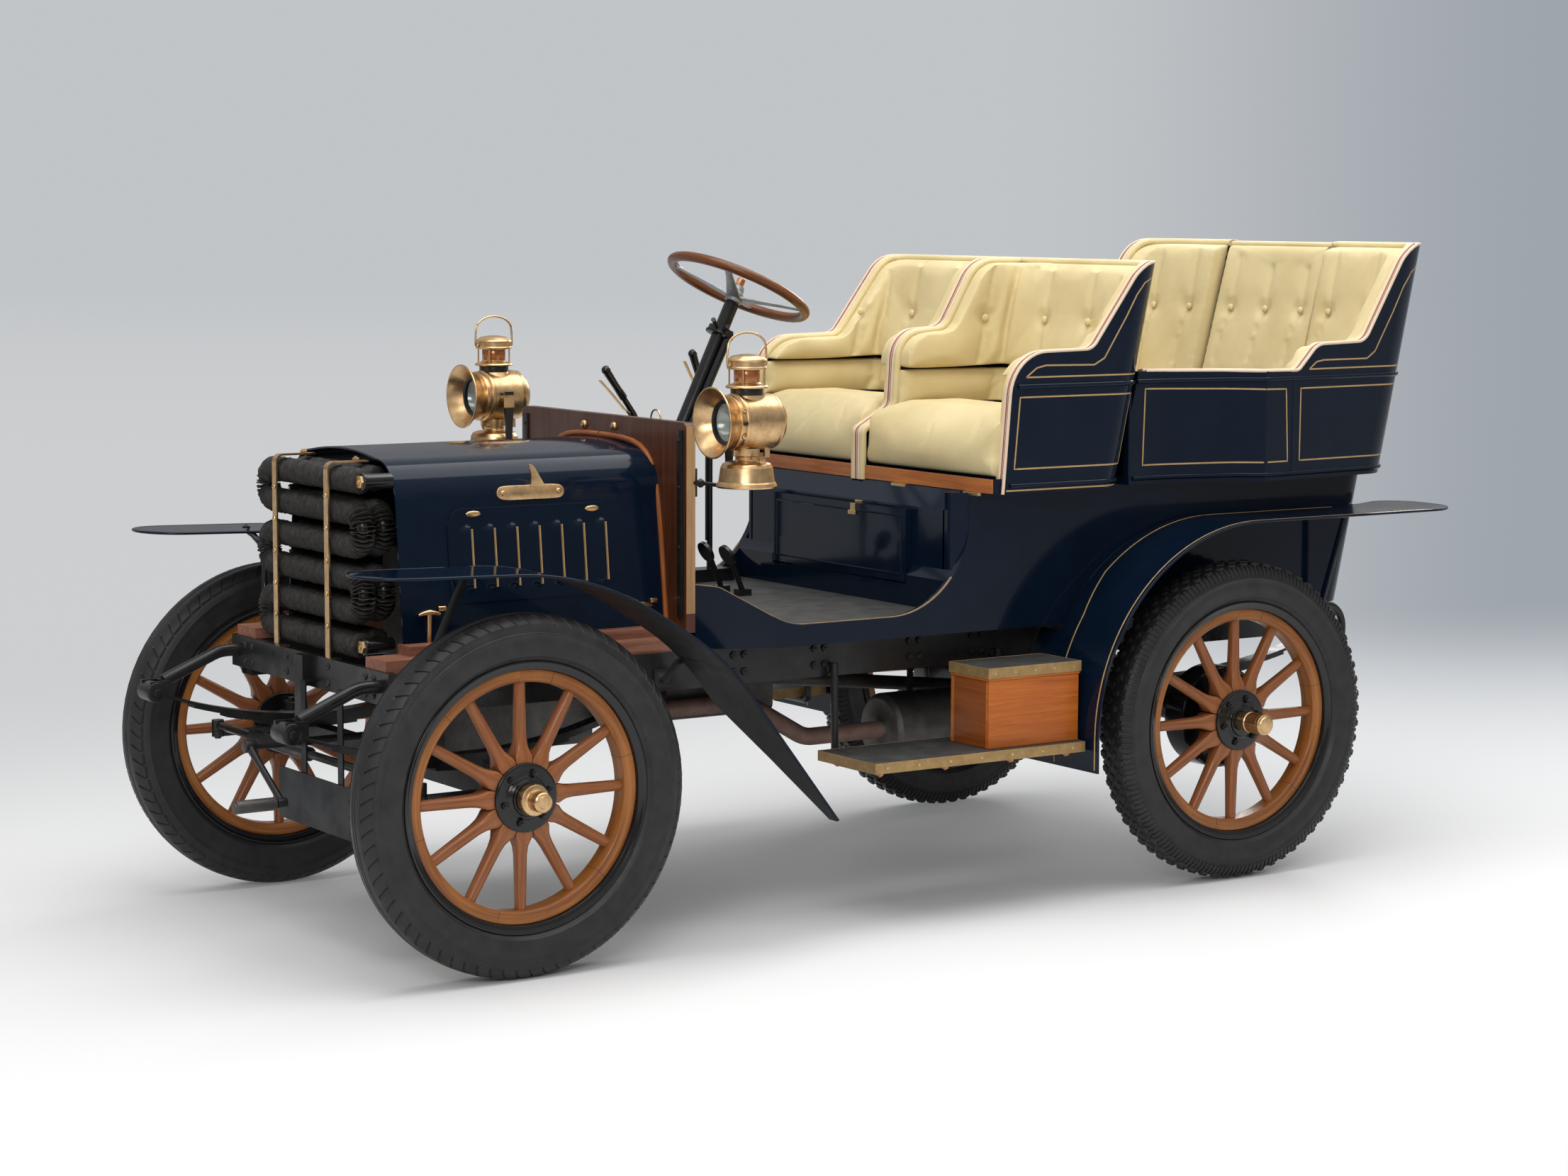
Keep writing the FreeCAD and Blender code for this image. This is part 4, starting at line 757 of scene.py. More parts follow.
def buildLamp(name, spot, aim, size, power):
    data = bpy.data.lights.new(name, "AREA")
    data.shape, data.size, data.size_y, data.energy = "RECTANGLE", *size, power
    lamp = show(name, data)
    lamp.location = spot
    lamp.rotation_euler = (Vector(aim) - Vector(spot)).to_track_quat("-Z", "Y").to_euler()


bpy.context.scene.view_settings.view_transform = "Standard"
buildCamera()
buildFloor()
buildWorld()
for name, values in softboxes.items():
    buildLamp(name, *values)
print("studio ready")

# tyres
tyre = {"sides": 160, "notched_tread": 72, "knobs": 64, "ribs": 176, "knobRadius": 12.5}
wallProfile = [(290, 29), (292, 32), (303, 37.6), (309, 44), (312, 47), (314, 49.6), (317, 49.6), (330, 52.3),
               (349, 53.6), (360, 53.0), (362, 54), (365, 53.8), (367, 51.6), (378, 48.6)]


def tyreBody(corner, crown):
    upper = wallProfile + crown
    bag = newBag()
    lay(bag, lathe([(r, -w) for r, w in upper] + [(r, w) for r, w in reversed(upper) if w > 0.01], tyre["sides"],
                   closed=True))
    makePiece("tyre_body_" + corner, bag, ["rubber"], "wheel_" + corner, wheelMatrix(corner),
              replaced=("tyre_" + corner,), angle=30)


def treadRing(kind, bag, corner):
    ringPiece("tyre_" + kind + "_" + corner, bag, tyre[kind], "rubber", "wheel_" + corner,
              wheelMatrix(corner))


def frontTyre(corner):
    tyreBody(corner, [(386, 44), (392, 38.5), (397, 31), (399, 25), (402.6, 23), (403.6, 20), (404.4, 8), (401.5, 6.5),
                      (401.5, 3.5), (404.6, 2), (404.7, 0)])
    block = newBag()
    rows = [(25, 402.8, 396, 0), (34, 399.0, 392, 7), (43, 391.0, 384, 15), (48, 385.0, 378, 20)]
    half = math.pi * 400 / tyre["notched_tread"] - 2.6
    for side in (-1, 1):
        verts = []
        for across, top, base, slant in rows:
            for dx, z in ((-half, base), (half, base), (half - 1, top), (-half + 1, top)):
                verts.append((dx + slant, side * across, z))
        add(block, verts, girdle(len(rows), 4))
    treadRing("notched_tread", block, corner)


def rearTyre(corner):
    tyreBody(corner, [(386, 44), (391, 39), (395, 33), (397.5, 24), (399, 12), (399.6, 0)])
    knob = newBag()
    size = tyre["knobRadius"]
    pitch = 2 * math.pi / tyre["knobs"]
    for row, across in enumerate((-29.5, -10, 10, 29.5)):
        shift = pitch / 2 * (row % 2)
        top = 404.6 - (across / 10) ** 2 * 0.42
        verts = []
        for scale, height in ((1.0, top - 9), (0.92, top - 1.2), (0.74, top)):
            for k in range(6):
                turn = math.pi / 3 * k
                x, y = size * scale * math.cos(turn), across + size * 0.86 * scale * math.sin(turn)
                verts.append((x * math.cos(shift) + height * math.sin(shift), y, height * math.cos(shift)
                              - x * math.sin(shift)))
        add(knob, verts, girdle(3, 6))
    treadRing("knobs", knob, corner)
    rib = newBag()
    for side in (-1, 1):
        verts = []
        for radius, across, out in ((369, 50.0, 0.6), (371, 51.2, 2.6), (384, 46.4, 2.9), (394, 38.2, 2.6),
                                    (396, 36.0, 0.8)):
            for dx, raised in ((-3.9, 0), (3.9, 0), (3.1, 1), (-3.1, 1)):
                verts.append((dx, side * (across - 1.5 + raised * out), radius - 1.5 + raised * out * 0.8))
        add(rib, verts, girdle(5, 4))
    treadRing("ribs", rib, corner)


# wooden wheels
wheel = {"spokes": 12, "felloeOuter": 282.9, "felloeInner": 254, "felloeHalf": 26.8, "joints": 6, "jointTurn": 0.26,
         "sides": 144, "hubSides": 72, "bolts": 6, "boltTurn": 0.3, "boltCircle": 57.5, "grips": 30}
# distance from the hub, half width, half depth, how square
spokeStations = [(31, 7.9, 24.8, 1.0), (56, 14.8, 24.8, 1.0), (80, 21.2, 24.6, 0.95), (90, 21.6, 23.6, 0.8),
                 (99, 18.6, 21.4, 0.55), (112, 15.8, 18.6, 0.3), (130, 14.6, 17.2, 0.12), (175, 13.8, 16.2, 0.0),
                 (222, 12.9, 15.0, 0.0), (257, 12.4, 14.2, 0.0)]


def squareRing(halfWide, halfDeep, square, count=20):
    power = 2 / (2 + 10 * square * square)
    points = []
    for k in range(count):
        c, s = math.cos(2 * math.pi * k / count), math.sin(2 * math.pi * k / count)
        points.append((halfWide * math.copysign(abs(c) ** power, c), halfDeep * math.copysign(abs(s) ** power, s)))
    return points


def woodenWheel(corner):
    matrix = wheelMatrix(corner)
    body = "wheel_" + corner
    spoke = newBag()
    verts, uvs, count = [], [], 20
    for radius, wide, deep, square in spokeStations:
        for k, (x, y) in enumerate(squareRing(wide, deep, square, count)):
            verts.append((x, y, radius))
            uvs.append((radius * milli, k * 0.005))
    add(spoke, verts, girdle(len(spokeStations), count), 0, uvs)
    ringPiece("spokes_" + corner, spoke, wheel["spokes"], "wheelWood", body, matrix,
              replaced=("wheel_" + corner,))
    outer, inner, half = wheel["felloeOuter"], wheel["felloeInner"], wheel["felloeHalf"]
    section = softened([(outer, 0), (outer, -half, 2), (inner + 6, -half, 7), (inner, -half + 6, 8),
                        (inner, half - 6, 8), (inner + 6, half, 7), (outer, half, 2), (outer, 0.5)], 4)
    bag = newBag()
    lay(bag, lathe(section, wheel["sides"], closed=True))
    makePiece("felloe_" + corner, bag, ["felloeWood"], body, matrix)
    joint = newBag()
    strip = [(outer - 1, half + 0.12), (inner + 6, half + 0.12), (inner - 0.1, half - 6), (inner - 0.12, -half + 6),
             (inner + 6, -half - 0.12), (outer - 1, -half - 0.12), (outer - 2, -half + 1), (inner + 3, -half + 3),
             (inner + 3, half - 3), (outer - 2, half - 1)]
    verts = [(dx, y, r) for dx in (-0.5, 0.5) for r, y in strip]
    add(joint, verts, girdle(2, len(strip)))
    ringPiece("felloe_joints_" + corner, joint, wheel["joints"], "iron", body, matrix,
              phase=wheel["jointTurn"])
    hubAndRim(corner, matrix, body)


def hubAndRim(corner, matrix, body):
    rear = corner.startswith("rear")
    rim = [(283.2, -34, 0), (284.5, -36, 1), (293, -38.5, 3), (299, -42.4, 3), (303.2, -41.5, 2), (303.4, -38.6, 2),
           (297, -36.6, 3), (290.6, -31.4, 2), (290.6, 31.4, 2), (297, 36.6, 3), (303.4, 38.6, 2), (303.2, 41.5, 2),
           (299, 42.4, 3), (293, 38.5, 3), (284.5, 36, 1), (283.2, 34, 0)]
    bag = newBag()
    lay(bag, turned(rim, 3, wheel["sides"], closed=True))
    makePiece("steel_rim_" + corner, bag, ["enamel"], body, matrix, replaced=("hub_" + corner,))
    bag = newBag()
    face = [(0, -46), (39, -46, 2), (39.6, -40, 3), (48, -35.4, 3), (50, -33.6, 1), (72, -33.2, 2), (76.8, -31.6, 3),
            (77, -25.2, 0.5), (33, -25.2)]
    lay(bag, turned(face, 4, wheel["hubSides"]))
    back = [(33, 25.2), (77, 25.2, 1), (77, 31.5, 3), (70, 33.4, 2), (33.5, 34, 4), (33, 47.8, 2), (18.2, 47.8)]
    if rear:
        back = [(33, 25.2), (77, 25.2, 1), (77, 32.8, 2), (45.4, 33.2, 1), (45.4, 103.5, 1), (121.4, 103.5, 3),
                (121.6, 42, 1), (129.8, 42, 1), (130, 46, 1), (130, 112, 4), (45, 112, 1), (45, 118, 1), (18.2, 118)]
    lay(bag, turned(back, 3, wheel["hubSides"]))
    makePiece("hub_flanges_" + corner, bag, ["enamel"], body, matrix, closed=False)
    nut = newBag()
    lay(nut, hexNut(15, 8, 4.5), 0, lambda a, b, c: (a, -33.0 - c, wheel["boltCircle"] + b))
    ringPiece("hub_bolts_" + corner, nut, wheel["bolts"], "enamel", body, matrix, phase=wheel["boltTurn"])
    bag = newBag()
    if rear:
        cap = [(0, -130), (19, -130, 1), (21, -127, 1), (26.4, -125, 2), (26.8, -118, 1), (24.8, -116, 1),
               (24.8, -74, 1), (27, -72, 1), (27, -62, 1), (24, -60), (24, -46)]
    else:
        cap = [(0, -110), (19.5, -110, 1.5), (22.8, -107, 1.5), (22.8, -76, 1), (27, -74, 1), (34.4, -73, 2),
               (34.8, -50, 1.5), (31, -47.5), (31, -46)]
    lay(bag, turned(cap, 3, wheel["hubSides"]))
    if not rear:
        ring = [(12, -110), (12.6, -111.2, 0.4), (14.4, -111.2, 0.4), (15, -110)]
        lay(bag, turned(ring, 2, 48))
    makePiece("hub_cap_" + corner, bag, ["brass"], body, matrix, closed=False)
    ridge = newBag()
    reach, low, high = (25.0, -114, -76) if rear else (34.4, -70, -53)
    verts = [(dx, y, z) for y in (low, high) for dx, z in ((-1.2, reach - 0.5), (1.2, reach - 0.5), (0.7, reach + 1.2),
            (-0.7, reach + 1.2))]
    add(ridge, verts, girdle(2, 4))
    ringPiece("hub_cap_grips_" + corner, ridge, wheel["grips"], "brass", body, matrix)


for corner in corners:
    woodenWheel(corner)
    (rearTyre if corner.startswith("rear") else frontTyre)(corner)
print("wheels ready")

# gilled radiator
radiator = {"low": 706, "pitch": 74.4, "rows": 6, "reach": 30, "core": 13, "spacing": 7.2, "lean": 0.11}
layers = [(-186, -205, 215), (-122, -178, 178)]
rowHeights = [radiator["low"] + radiator["pitch"] * row for row in range(radiator["rows"])][::-1]


def serpentine(station, near, far):
    turn = radiator["pitch"] / 2
    points = [Vector((station, near - 25, rowHeights[0]))]
    for row, height in enumerate(rowHeights):
        ends = (near, far) if row % 2 == 0 else (far, near)
        count = 14
        points += [Vector((station, ends[0] + (ends[1] - ends[0]) * k / count, height)) for k in range(count + 1)]
        if row < len(rowHeights) - 1:
            way = 1 if row % 2 == 0 else -1
            for step in range(1, 12):
                angle = math.pi * step / 12
                points.append(Vector((station, ends[1] + way * turn * math.sin(angle), height - turn
                                      + turn * math.cos(angle))))
    points.append(Vector((station, near - 25, rowHeights[-1])))
    return points


def buildRadiator():
    gill = newBag()
    reach, core, count = radiator["reach"], radiator["core"], 18
    verts = []
    for ring, (radius, along) in enumerate(((core, -1.2), (reach - 0.3, -0.65), (reach, 0.0), (reach - 0.3, 0.65),
                                            (core, 1.2))):
        for k in range(count):
            turn = 2 * math.pi * k / count
            waved = radius if ring in (0, 4) else radius - 1.1 + 1.1 * math.sin(turn * 5)
            verts.append((waved * math.cos(turn), waved * math.sin(turn), along
                          + (1.9 * math.sin(turn * 6) if 0 < ring < 4 else 0)))
    add(gill, verts, girdle(5, count, True))
    item = itemOf("gill_item", gill, "gill", angle=80)
    cores = newBag()
    for number, (station, near, far) in enumerate(layers):
        points = serpentine(station, near, far)
        lay(cores, tube(points, core + 1.0, 12, up=(1, 0, 0)))
        inside = points[1:-1] if number else points
        line = bpy.data.meshes.new("gillPath")
        line.from_pydata([carMatrix @ p for p in inside], [(i, i + 1) for i in range(len(inside) - 1)], [])
        path = show("gillPath", line)
        mesh = grow("gills", "path", {"Item": item, "Path": path, "Spacing": radiator["spacing"] * milli,
                                      "Lean": radiator["lean"], "Finish": finishes["gill"]})
        drop(path)
        register(show(("front", "rear")[number] + "_layer_gills", mesh), "car")
    drop(item)
    makePiece("radiator_tubes", cores, ["iron"], "car", replaced=("radiator",))
    pipes = newBag()
    for height in (rowHeights[0], rowHeights[-1]):
        profile = softened([(0, -194), (19.6, -194, 2), (19.8, -186, 1), (17.8, -185, 1), (17.8, -121, 2), (0, -121)],
                           3)
        lay(pipes, lathe(profile, 40), 0, lambda x, y, z: (y, -252 + x, height + z))
        lay(pipes, hexNut(27, 8, 5), 1, lambda a, b, c: (-194 - c, -252 + a, height + b))
    makePiece("radiator_headers", pipes, ["enamel", "brass"], "car")
    between = [radiator["low"] + radiator["pitch"] * (row + 0.5) for row in range(5)]
    spots = [((-226.4, side * 136, height), (-1, 0, 0)) for side in (-1, 1) for height in between]
    spotPiece("strap_bolts", domeHead(6.5, 4.5), spots, "brass", "car")
    tops = [((-150, side * 136, 1116.5), (0, 0, 1)) for side in (-1, 1)]
    spotPiece("strap_top_nuts", hexNut(15, 7, 4), tops, "brass", "car")
    # painted shade: thin black plates beside each strap stand in for the shadow between strap and tubes
    backs = newBag()
    for side in (-1, 1):
        lay(backs, plate(24, 400, 3, 0.4), 0, lambda x, y, z: (-217.5 + y * 0.6, side * 136 + 13 + x * 0.2, 890 + z))
    makePiece("strap_packing", backs, ["iron"], "car")


buildRadiator()
print("radiator ready")

# bonnet fittings
bonnet = {"louvres": 7, "first": 64, "step": 58.7, "low": 820, "high": 972, "wide": 25, "bulge": 7.5, "slope": 0.105}


def flank(height):
    return 303 - bonnet["slope"] * (height - 712.5)


def louvreBag(side):
    bag = newBag()
    across, along = 8, 22
    tall = bonnet["high"] - bonnet["low"]
    verts, faces = [], []
    for j in range(along + 1):
        v = j / along
        end = min(v, 1 - v) * tall
        rounded = math.sqrt(max(0.0, 1 - (1 - min(end / 15, 1)) ** 2))
        for i in range(across + 1):
            u = i / across
            lean = (1 - math.cos(math.pi * u)) / 2
            verts.append((-bonnet["wide"] * (1 - u) * (0.35 + 0.65 * rounded),
                          side * (0.3 + bonnet["bulge"] * lean * rounded), tall * (v - 0.5)))
    for j in range(along):
        for i in range(across):
            a = j * (across + 1) + i
            faces.append([a, a + 1, a + across + 2, a + across + 1])
    size = len(verts)
    for j in range(along + 1):
        for x in (-bonnet["wide"], 0):
            verts.append((x, side * -0.5, tall * (j / along - 0.5)))
    for j in range(along):
        b = size + 2 * j
        faces.append([b, b + 2, b + 3, b + 1])
        faces.append([b + 1, b + 3, (j + 1) * (across + 1) + across, j * (across + 1) + across])
        faces.append([b + 2, b, j * (across + 1), (j + 1) * (across + 1)])
    for row, b in ((0, size), (along * (across + 1), size + 2 * along)):
        faces.append([row + i for i in range(across + 1)] + [b + 1, b])
    add(bag, verts, faces)
    return bag


def buildLouvres(lines, side):
    low, high, bulge = bonnet["low"], bonnet["high"], bonnet["bulge"]
    mid = (low + high) / 2
    outward = abs(onSide("bonnet", 240, mid, side)[0].y)
    item = itemOf("louvre_item", louvreBag(side), "navy", angle=50)
    start = carMatrix @ Vector((bonnet["first"], side * (outward - 0.2), mid))
    mesh = grow("louvres", "row", {"Item": item, "Count": bonnet["louvres"], "Start": start,
                                   "Step": (bonnet["step"] * milli, 0, 0), "Turn": (side * math.atan(bonnet["slope"]),
                                           0, 0), "Finish": finishes["navy"]})
    drop(item)
    register(show("bonnet_louvres_" + ("right" if side > 0 else "left"), mesh), "car")
    half = bulge * 0.6
    for number in range(bonnet["louvres"]):
        x = bonnet["first"] + bonnet["step"] * number
        run = [(x + 1.4, side * (flank(z) + 5 + bulge * 0.55), z) for z in (low + 8, (low + high) / 2 - 1, high - 10)]
        lay(lines, sweep(run, [(-half, -0.9), (half, -0.9), (half, 0.9), (-half, 0.9)], up=(1, 0, 0)))


def addCatch(bag, side, x, foot):
    # a brass catch: shank, cross bar, plate and lug
    high = foot + 66
    face = abs(onSide("bonnet", max(x, -40), high, side)[0].y)
    shank = [(x, side * (face + 2), foot - 8), (x, side * (face + 7), foot + 14), (x, side * (face + 9), high - 6)]
    lay(bag, tube(shank, 5.2, 12, up=(1, 0, 0), scales=[1.25, 1.0, 1.15]))
    bar = [(x - 27 + 54 * k / 8, side * (face + 9), high - 2 - ((k - 4) / 4) ** 2 * 5) for k in range(9)]
    lay(bag, tube(bar, 5.6, 12, up=(0, 0, 1), scales=[0.55, 0.75, 0.9, 1.05, 1.25, 1.05, 0.9, 0.75, 0.55]))
    lay(bag, plate(13, 30, 5, 1), 0, lambda px, py, pz: (x + px, side * (face + 1 - py * 0.6), foot - 8 + pz))
    lay(bag, turned([(0, -10), (6, -10, 1), (6, 9, 2), (0, 9)], 2, 16), 0, lambda px, py,
        pz: (x + 36 + py, side * (face + 3 + px * 0.5), high + 4 + pz))


def halfOval(x, z, start):
    return [(x + 18 * math.cos(start + math.pi * k / 8), z + 15.5 * math.sin(start + math.pi * k / 8))
            for k in range(9)]


def addHandle(bag, side):
    # the plate on the bonnet's shoulder, its two domes and its raking fin
    outline = halfOval(158, 1038, math.pi / 2) + [(172, 1021), (284, 1021)] + halfOval(300, 1037,
            -math.pi / 2) + [(284, 1054), (172, 1054)]
    marks = [onSide("bonnet", x, z, side) for x, z in outline]
    inner = [onSide("bonnet", 228 + (x - 228) * 0.97, 1038 + (z - 1038) * 0.88, side)[0] + normal * 4.4 for (x, z),
             (_, normal) in zip(outline, marks)]
    add(bag, [place + normal * lift for lift in (-0.5, 3.4) for place, normal in marks] + inner,
        girdle(3, len(outline)))
    for x in (156, 302):
        place, normal = onSide("bonnet", x, 1038, side)
        turn = normal.to_track_quat("Z", "Y").to_matrix()
        lay(bag, domeHead(6, 3.6, 16), 0, lambda *v: place + normal * 3.6 + turn @ Vector(v))
    base, outward = onSide("bonnet", 250, 1048, side)
    fin = []
    for wide, thick, lift, back, rise in ((44, 5, 2, 0, 0), (33, 4.6, 6, -5, 9), (23, 4.2, 12, -12, 22),
                                          (18, 3.8, 19, -21, 34),
                                          (15, 3.4, 25, -30, 44), (8, 2.6, 28, -35, 49)):
        at = base + outward * lift + Vector((back, 0, rise))
        fin += [at + Vector((dx * wide / 2, 0, 0)) + outward * dy * thick / 2 for dx,
                dy in ((-1, -1), (0, -1.15), (1, -1), (1, 1), (0, 1.15), (-1, 1))]
    add(bag, fin, girdle(6, 6))


def buildBonnetTrim():
    lines, buttons, catches, handles = newBag(), newBag(), newBag(), newBag()
    for side in (-1, 1):
        buildLouvres(lines, side)
        layLine(lines, "bonnet", [(12, 800), (12, 974), (18, 993), (30, 1003), (46, 1007), (418, 1007)],
                halfRound(3.2, 1.2, 4), 12, side, slot=2)
        for x, z in ((76, 995), (389, 993)):
            face = abs(onSide("bonnet", x, z, side)[0].y)
            lay(buttons, domeHead(1, 1, 24), 0, lambda a, b, c: (x + a * 19, side * (face - 0.3 + c * 5), z + b * 7.5))
        for x, foot in ((-52, 716), (507, 700)):
            addCatch(catches, side, x, foot)
        addHandle(handles, side)
    makePiece("louvre_edges", lines, ["goldLine", "enamel", "navy"], "car")
    makePiece("bonnet_buttons", buttons, ["brass"], "car")
    makePiece("bonnet_catches", catches, ["brass"], "car")
    makePiece("bonnet_handles", handles, ["brass"], "car", bevel=0.8, angle=42)


buildBonnetTrim()


# dashboard
def buildDash():
    moulding, irons, brassBits, edge = newBag(), newBag(), newBag(), newBag()
    curve = [(0, 1141.5), (60, 1141), (112, 1138.5), (150, 1134), (185, 1125), (212, 1110), (232, 1090), (247, 1063),
             (258, 1030), (268, 985), (278, 925), (287, 850), (295, 780), (301, 730), (303, 700)]
    for side in (-1, 1):
        points = [(572.5, side * (y + 3), z + 2) for y, z in curve]
        smooth = []
        for a, b in zip(points, points[1:]):
            smooth += [Vector(a).lerp(Vector(b), k / 3) for k in range(3)]
        smooth.append(Vector(points[-1]))
        lay(moulding, sweep(smooth, [(-7, -2), (7, -2), (7, 2), (4.5, 5), (0, 6.2), (-4.5, 5), (-7, 2)], forward))
        lay(edge, plate(6, 440, 24, 0.5), 0, lambda x, y, z: (599.5 + y, side * (390 + x * 0.12), 965 + z))
        path = [(572, 366, 735), (572, 366, 1150), (572, 366, 1174)]
        lay(irons, sweep([(x, side * y, z) for x, y, z in path],
                         [(-11, -3), (11, -3), (11, 1.5), (9, 2.6), (-9, 2.6), (-11, 1.5)], forward))
        for z in (1150, 1040, 900, 780):
            lay(irons, domeHead(5.5, 3, 14), 0, lambda a, b, c: (569.6 - c, side * 366 + a, z + b))
    for y, z in ((78, 1163), (-64, 1166)):
        lay(brassBits, domeHead(11, 9, 20), 0, lambda a, b, c: (574.8 - c, y + a, z + b))
    for y, z in ((78, 1147), (-90, 1147)):
        lay(brassBits, domeHead(5, 1.5, 12), 1, lambda a, b, c: (574.8 - c, y + a, z + b))
    ring = [Vector((585, -238 + 22 * math.cos(math.pi * k / 12), 1193 + 22 * math.sin(math.pi * k / 12)))
            for k in range(13)]
    lay(brassBits, tube(ring, 2.2, 8, up=(1, 0, 0)))
    makePiece("dash_moulding", moulding, ["moulding"], "car")
    makePiece("dash_irons", irons, ["iron"], "car")
    makePiece("dash_fittings", brassBits, ["brass", "steel"], "car")
    makePiece("dash_edge_strips", edge, ["dashEdge"], "car")


buildDash()
print("bonnet and dash ready")

# side lamps
lampSpot = {"station": 512, "side": 597, "height": 1206, "middle": 96}


def lampPlace(side):
    return lampSpot["station"], side * lampSpot["side"], lampSpot["height"], lampSpot["station"] + lampSpot["middle"]


def addLampBody(bag, side):
    station, track, height, mid = lampPlace(side)

    def along(profile, slot, count=56, closed=False, steps=4):
        lay(bag, turned(profile, steps, count, closed), slot, lambda x, y, z: (station + y, track + x, height + z))

    def upright(profile, slot, count=56, closed=False, steps=4):
        lay(bag, turned(profile, steps, count, closed), slot, lambda x, y, z: (mid + x, track + z, height + y))

    along([(47, 38), (54, 28, 3), (64, 13), (76, 2.5), (78, 0.6, 1), (81, 0.6, 1), (82, 3, 1), (80, 5, 1), (68, 18),
           (60, 32), (57, 44), (48, 44)], 0, closed=True)
    along([(44, 35), (50, 32.6, 1), (52.4, 34, 1), (50, 43), (44, 43)], 1, closed=True)
    along([(0, 74), (18, 70.5), (32, 61), (42, 48), (45, 42), (47, 42), (44, 50), (34, 64), (19, 74.5), (0, 78)], 2)
    along([(0, 40), (30, 40.6), (45, 42.5), (45, 43.8), (30, 42), (0, 41.4)], 3)
    along([(56, 42), (62.5, 44, 1.5), (63, 50, 1.5), (58.6, 52, 1), (59, 55, 1), (64, 58, 2), (66, 60, 1), (66, 67, 1),
           (64.2, 69, 1), (65.2, 90), (65.4, 110), (64.6, 148, 8), (62.6, 156, 2), (62.8, 160, 1.5), (58, 164, 2),
           (48, 176, 10), (22, 183, 8), (0, 184)], 0)
    upright([(0, -150), (69, -150, 1), (70, -146, 1.5), (67, -139, 3), (64.6, -136, 2), (60, -104, 3), (55, -95, 6),
             (44, -91, 3), (28, -89.5, 2), (26, -86, 1), (26, -80, 1), (30, -77, 1), (30, -60)], 0)
    upright([(44, 46), (38.6, 58, 3), (36.8, 62)], 0)
    upright([(30, 60), (37.4, 60, 1), (37.4, 76, 1), (30, 76)], 1)
    upright([(28, 76), (48.4, 77, 1), (49, 80, 1.5), (46, 83.4, 2), (33, 87, 2), (29.4, 90), (29.2, 120), (28, 121)], 0)
    upright([(29.3, 92), (29.8, 93), (29.8, 117), (29.3, 118)], 4)
    upright([(28, 119), (45.6, 120, 1), (46, 124, 1), (44.6, 126), (44.6, 137), (46.2, 139, 1), (44, 143, 2),
             (34, 150, 5), (14, 153.6, 4), (0, 154)], 0)
    for turn in range(4):
        angle = math.pi / 4 + turn * math.pi / 2
        x, y = mid + 41 * math.cos(angle), track + 41 * math.sin(angle)
        lay(bag, tube([(x, y, height + 81), (x, y, height + 122)], 2.1, 8))
    loop = [(-44.8, 131), (-49, 126), (-52.6, 129), (-53, 140), (-52, 162)]
    loop += [(-52 * math.cos(math.pi * k / 12) if 0 < k < 12 else (-50, 50)[k > 0], 168
              + 35 * math.sin(math.pi * k / 12)) for k in range(1, 12)]
    loop += [(-x, z) for x, z in loop[4::-1]]
    lay(bag, tube([(mid + x, track, height + z) for x, z in loop], 2.6, 10, up=(0, 1, 0)))


def addLampFittings(bag, side):
    # hinge lugs, blank name bar, wick knob
    station, track, height, mid = lampPlace(side)
    for place, lift in ((52, 0), (52, -30), (52, 30)):
        reach = math.sqrt(max(1.0, 66 ** 2 - lift ** 2))
        lay(bag, turned([(0, -3), (5.2, -3, 1), (5.2, 5, 1.5), (2, 6), (0, 6)], 2, 14), 1 if lift == 0 else 0,
            lambda x, y, z: (station + place + x, track + side * (reach - 3 + y), height + lift + z))
    bar = []
    for dx in (-21, 21):
        for lift in (-8, -3, 3, 8):
            bar += [(station + 112 + dx, track + side * (math.sqrt(65.2 ** 2 - lift ** 2) - 1), height + lift),
                    (station + 112 + dx, track + side * (math.sqrt(65.2 ** 2 - lift ** 2) + 1.6), height + lift)]
    faces = []
    for k in range(3):
        a, b = 2 * k, 2 * k + 2
        faces += [[a, b, b + 8, a + 8], [a + 1, a + 9, b + 9, b + 1], [a, a + 1, b + 1, b],
                  [a + 8, b + 8, b + 9, a + 9]]
    faces += [[0, 8, 9, 1], [6, 7, 15, 14]]
    add(bag, bar, faces, 0)
    lay(bag, turned([(0, 0), (3, 0), (3, 12), (9, 12, 1), (9, 17, 1), (0, 17)], 2, 16), 0, lambda x, y,
        z: (mid + 4 + x, track + side * (44 + y), height - 84 + z))
    lay(bag, plate(14, 22, 10, 1.5), 0, lambda x, y, z: (station + 64 + x, track + y * 0.8, height - 66 + z))
    lay(bag, plate(14, 22, 10, 1.5), 0, lambda x, y, z: (mid + 52 + x, track + y * 0.8, height - 72 + z))


def addLampBracket(bag, side):
    # black bracket from the dash
    _, track, height, mid = lampPlace(side)
    inboard = track - side * 76
    arm = [(603, side * 388, height - 154), (608, side * 420, height - 154),
           (mid + 1, inboard - side * 10, height - 154), (mid + 1, inboard, height - 148),
           (mid + 1, inboard, height - 110), (mid + 1, inboard, height - 30)]
    flat = [(-8.5, -3.6), (8.5, -3.6), (8.5, 3.6), (-8.5, 3.6)]
    lay(bag, sweep(arm, flat, up=(0, 0, 1), scales=[1, 1, 0.95, 0.95, 0.9, 1.35]), 5)
    lay(bag, plate(30, 26, 15, 2), 0, lambda x, y, z: (mid + x, inboard - side * 4 + side * -y, height - 14 + z))
    lay(bag, plate(26, 9, 9, 1.5), 5, lambda x, y, z: (mid + x, inboard - side * 5 - side * y, height + 9 + z))
    lay(bag, plate(30, 66, 6, 1), 5, lambda x, y, z: (600 - y, side * 375 + x, 1052 + z))
    lay(bag, lathe([(0, -11), (7, -8), (11, 0), (7, 8), (0, 11)], 16), 5, lambda x, y,
        z: (606 + x, side * 404 + y, height - 154 + z))


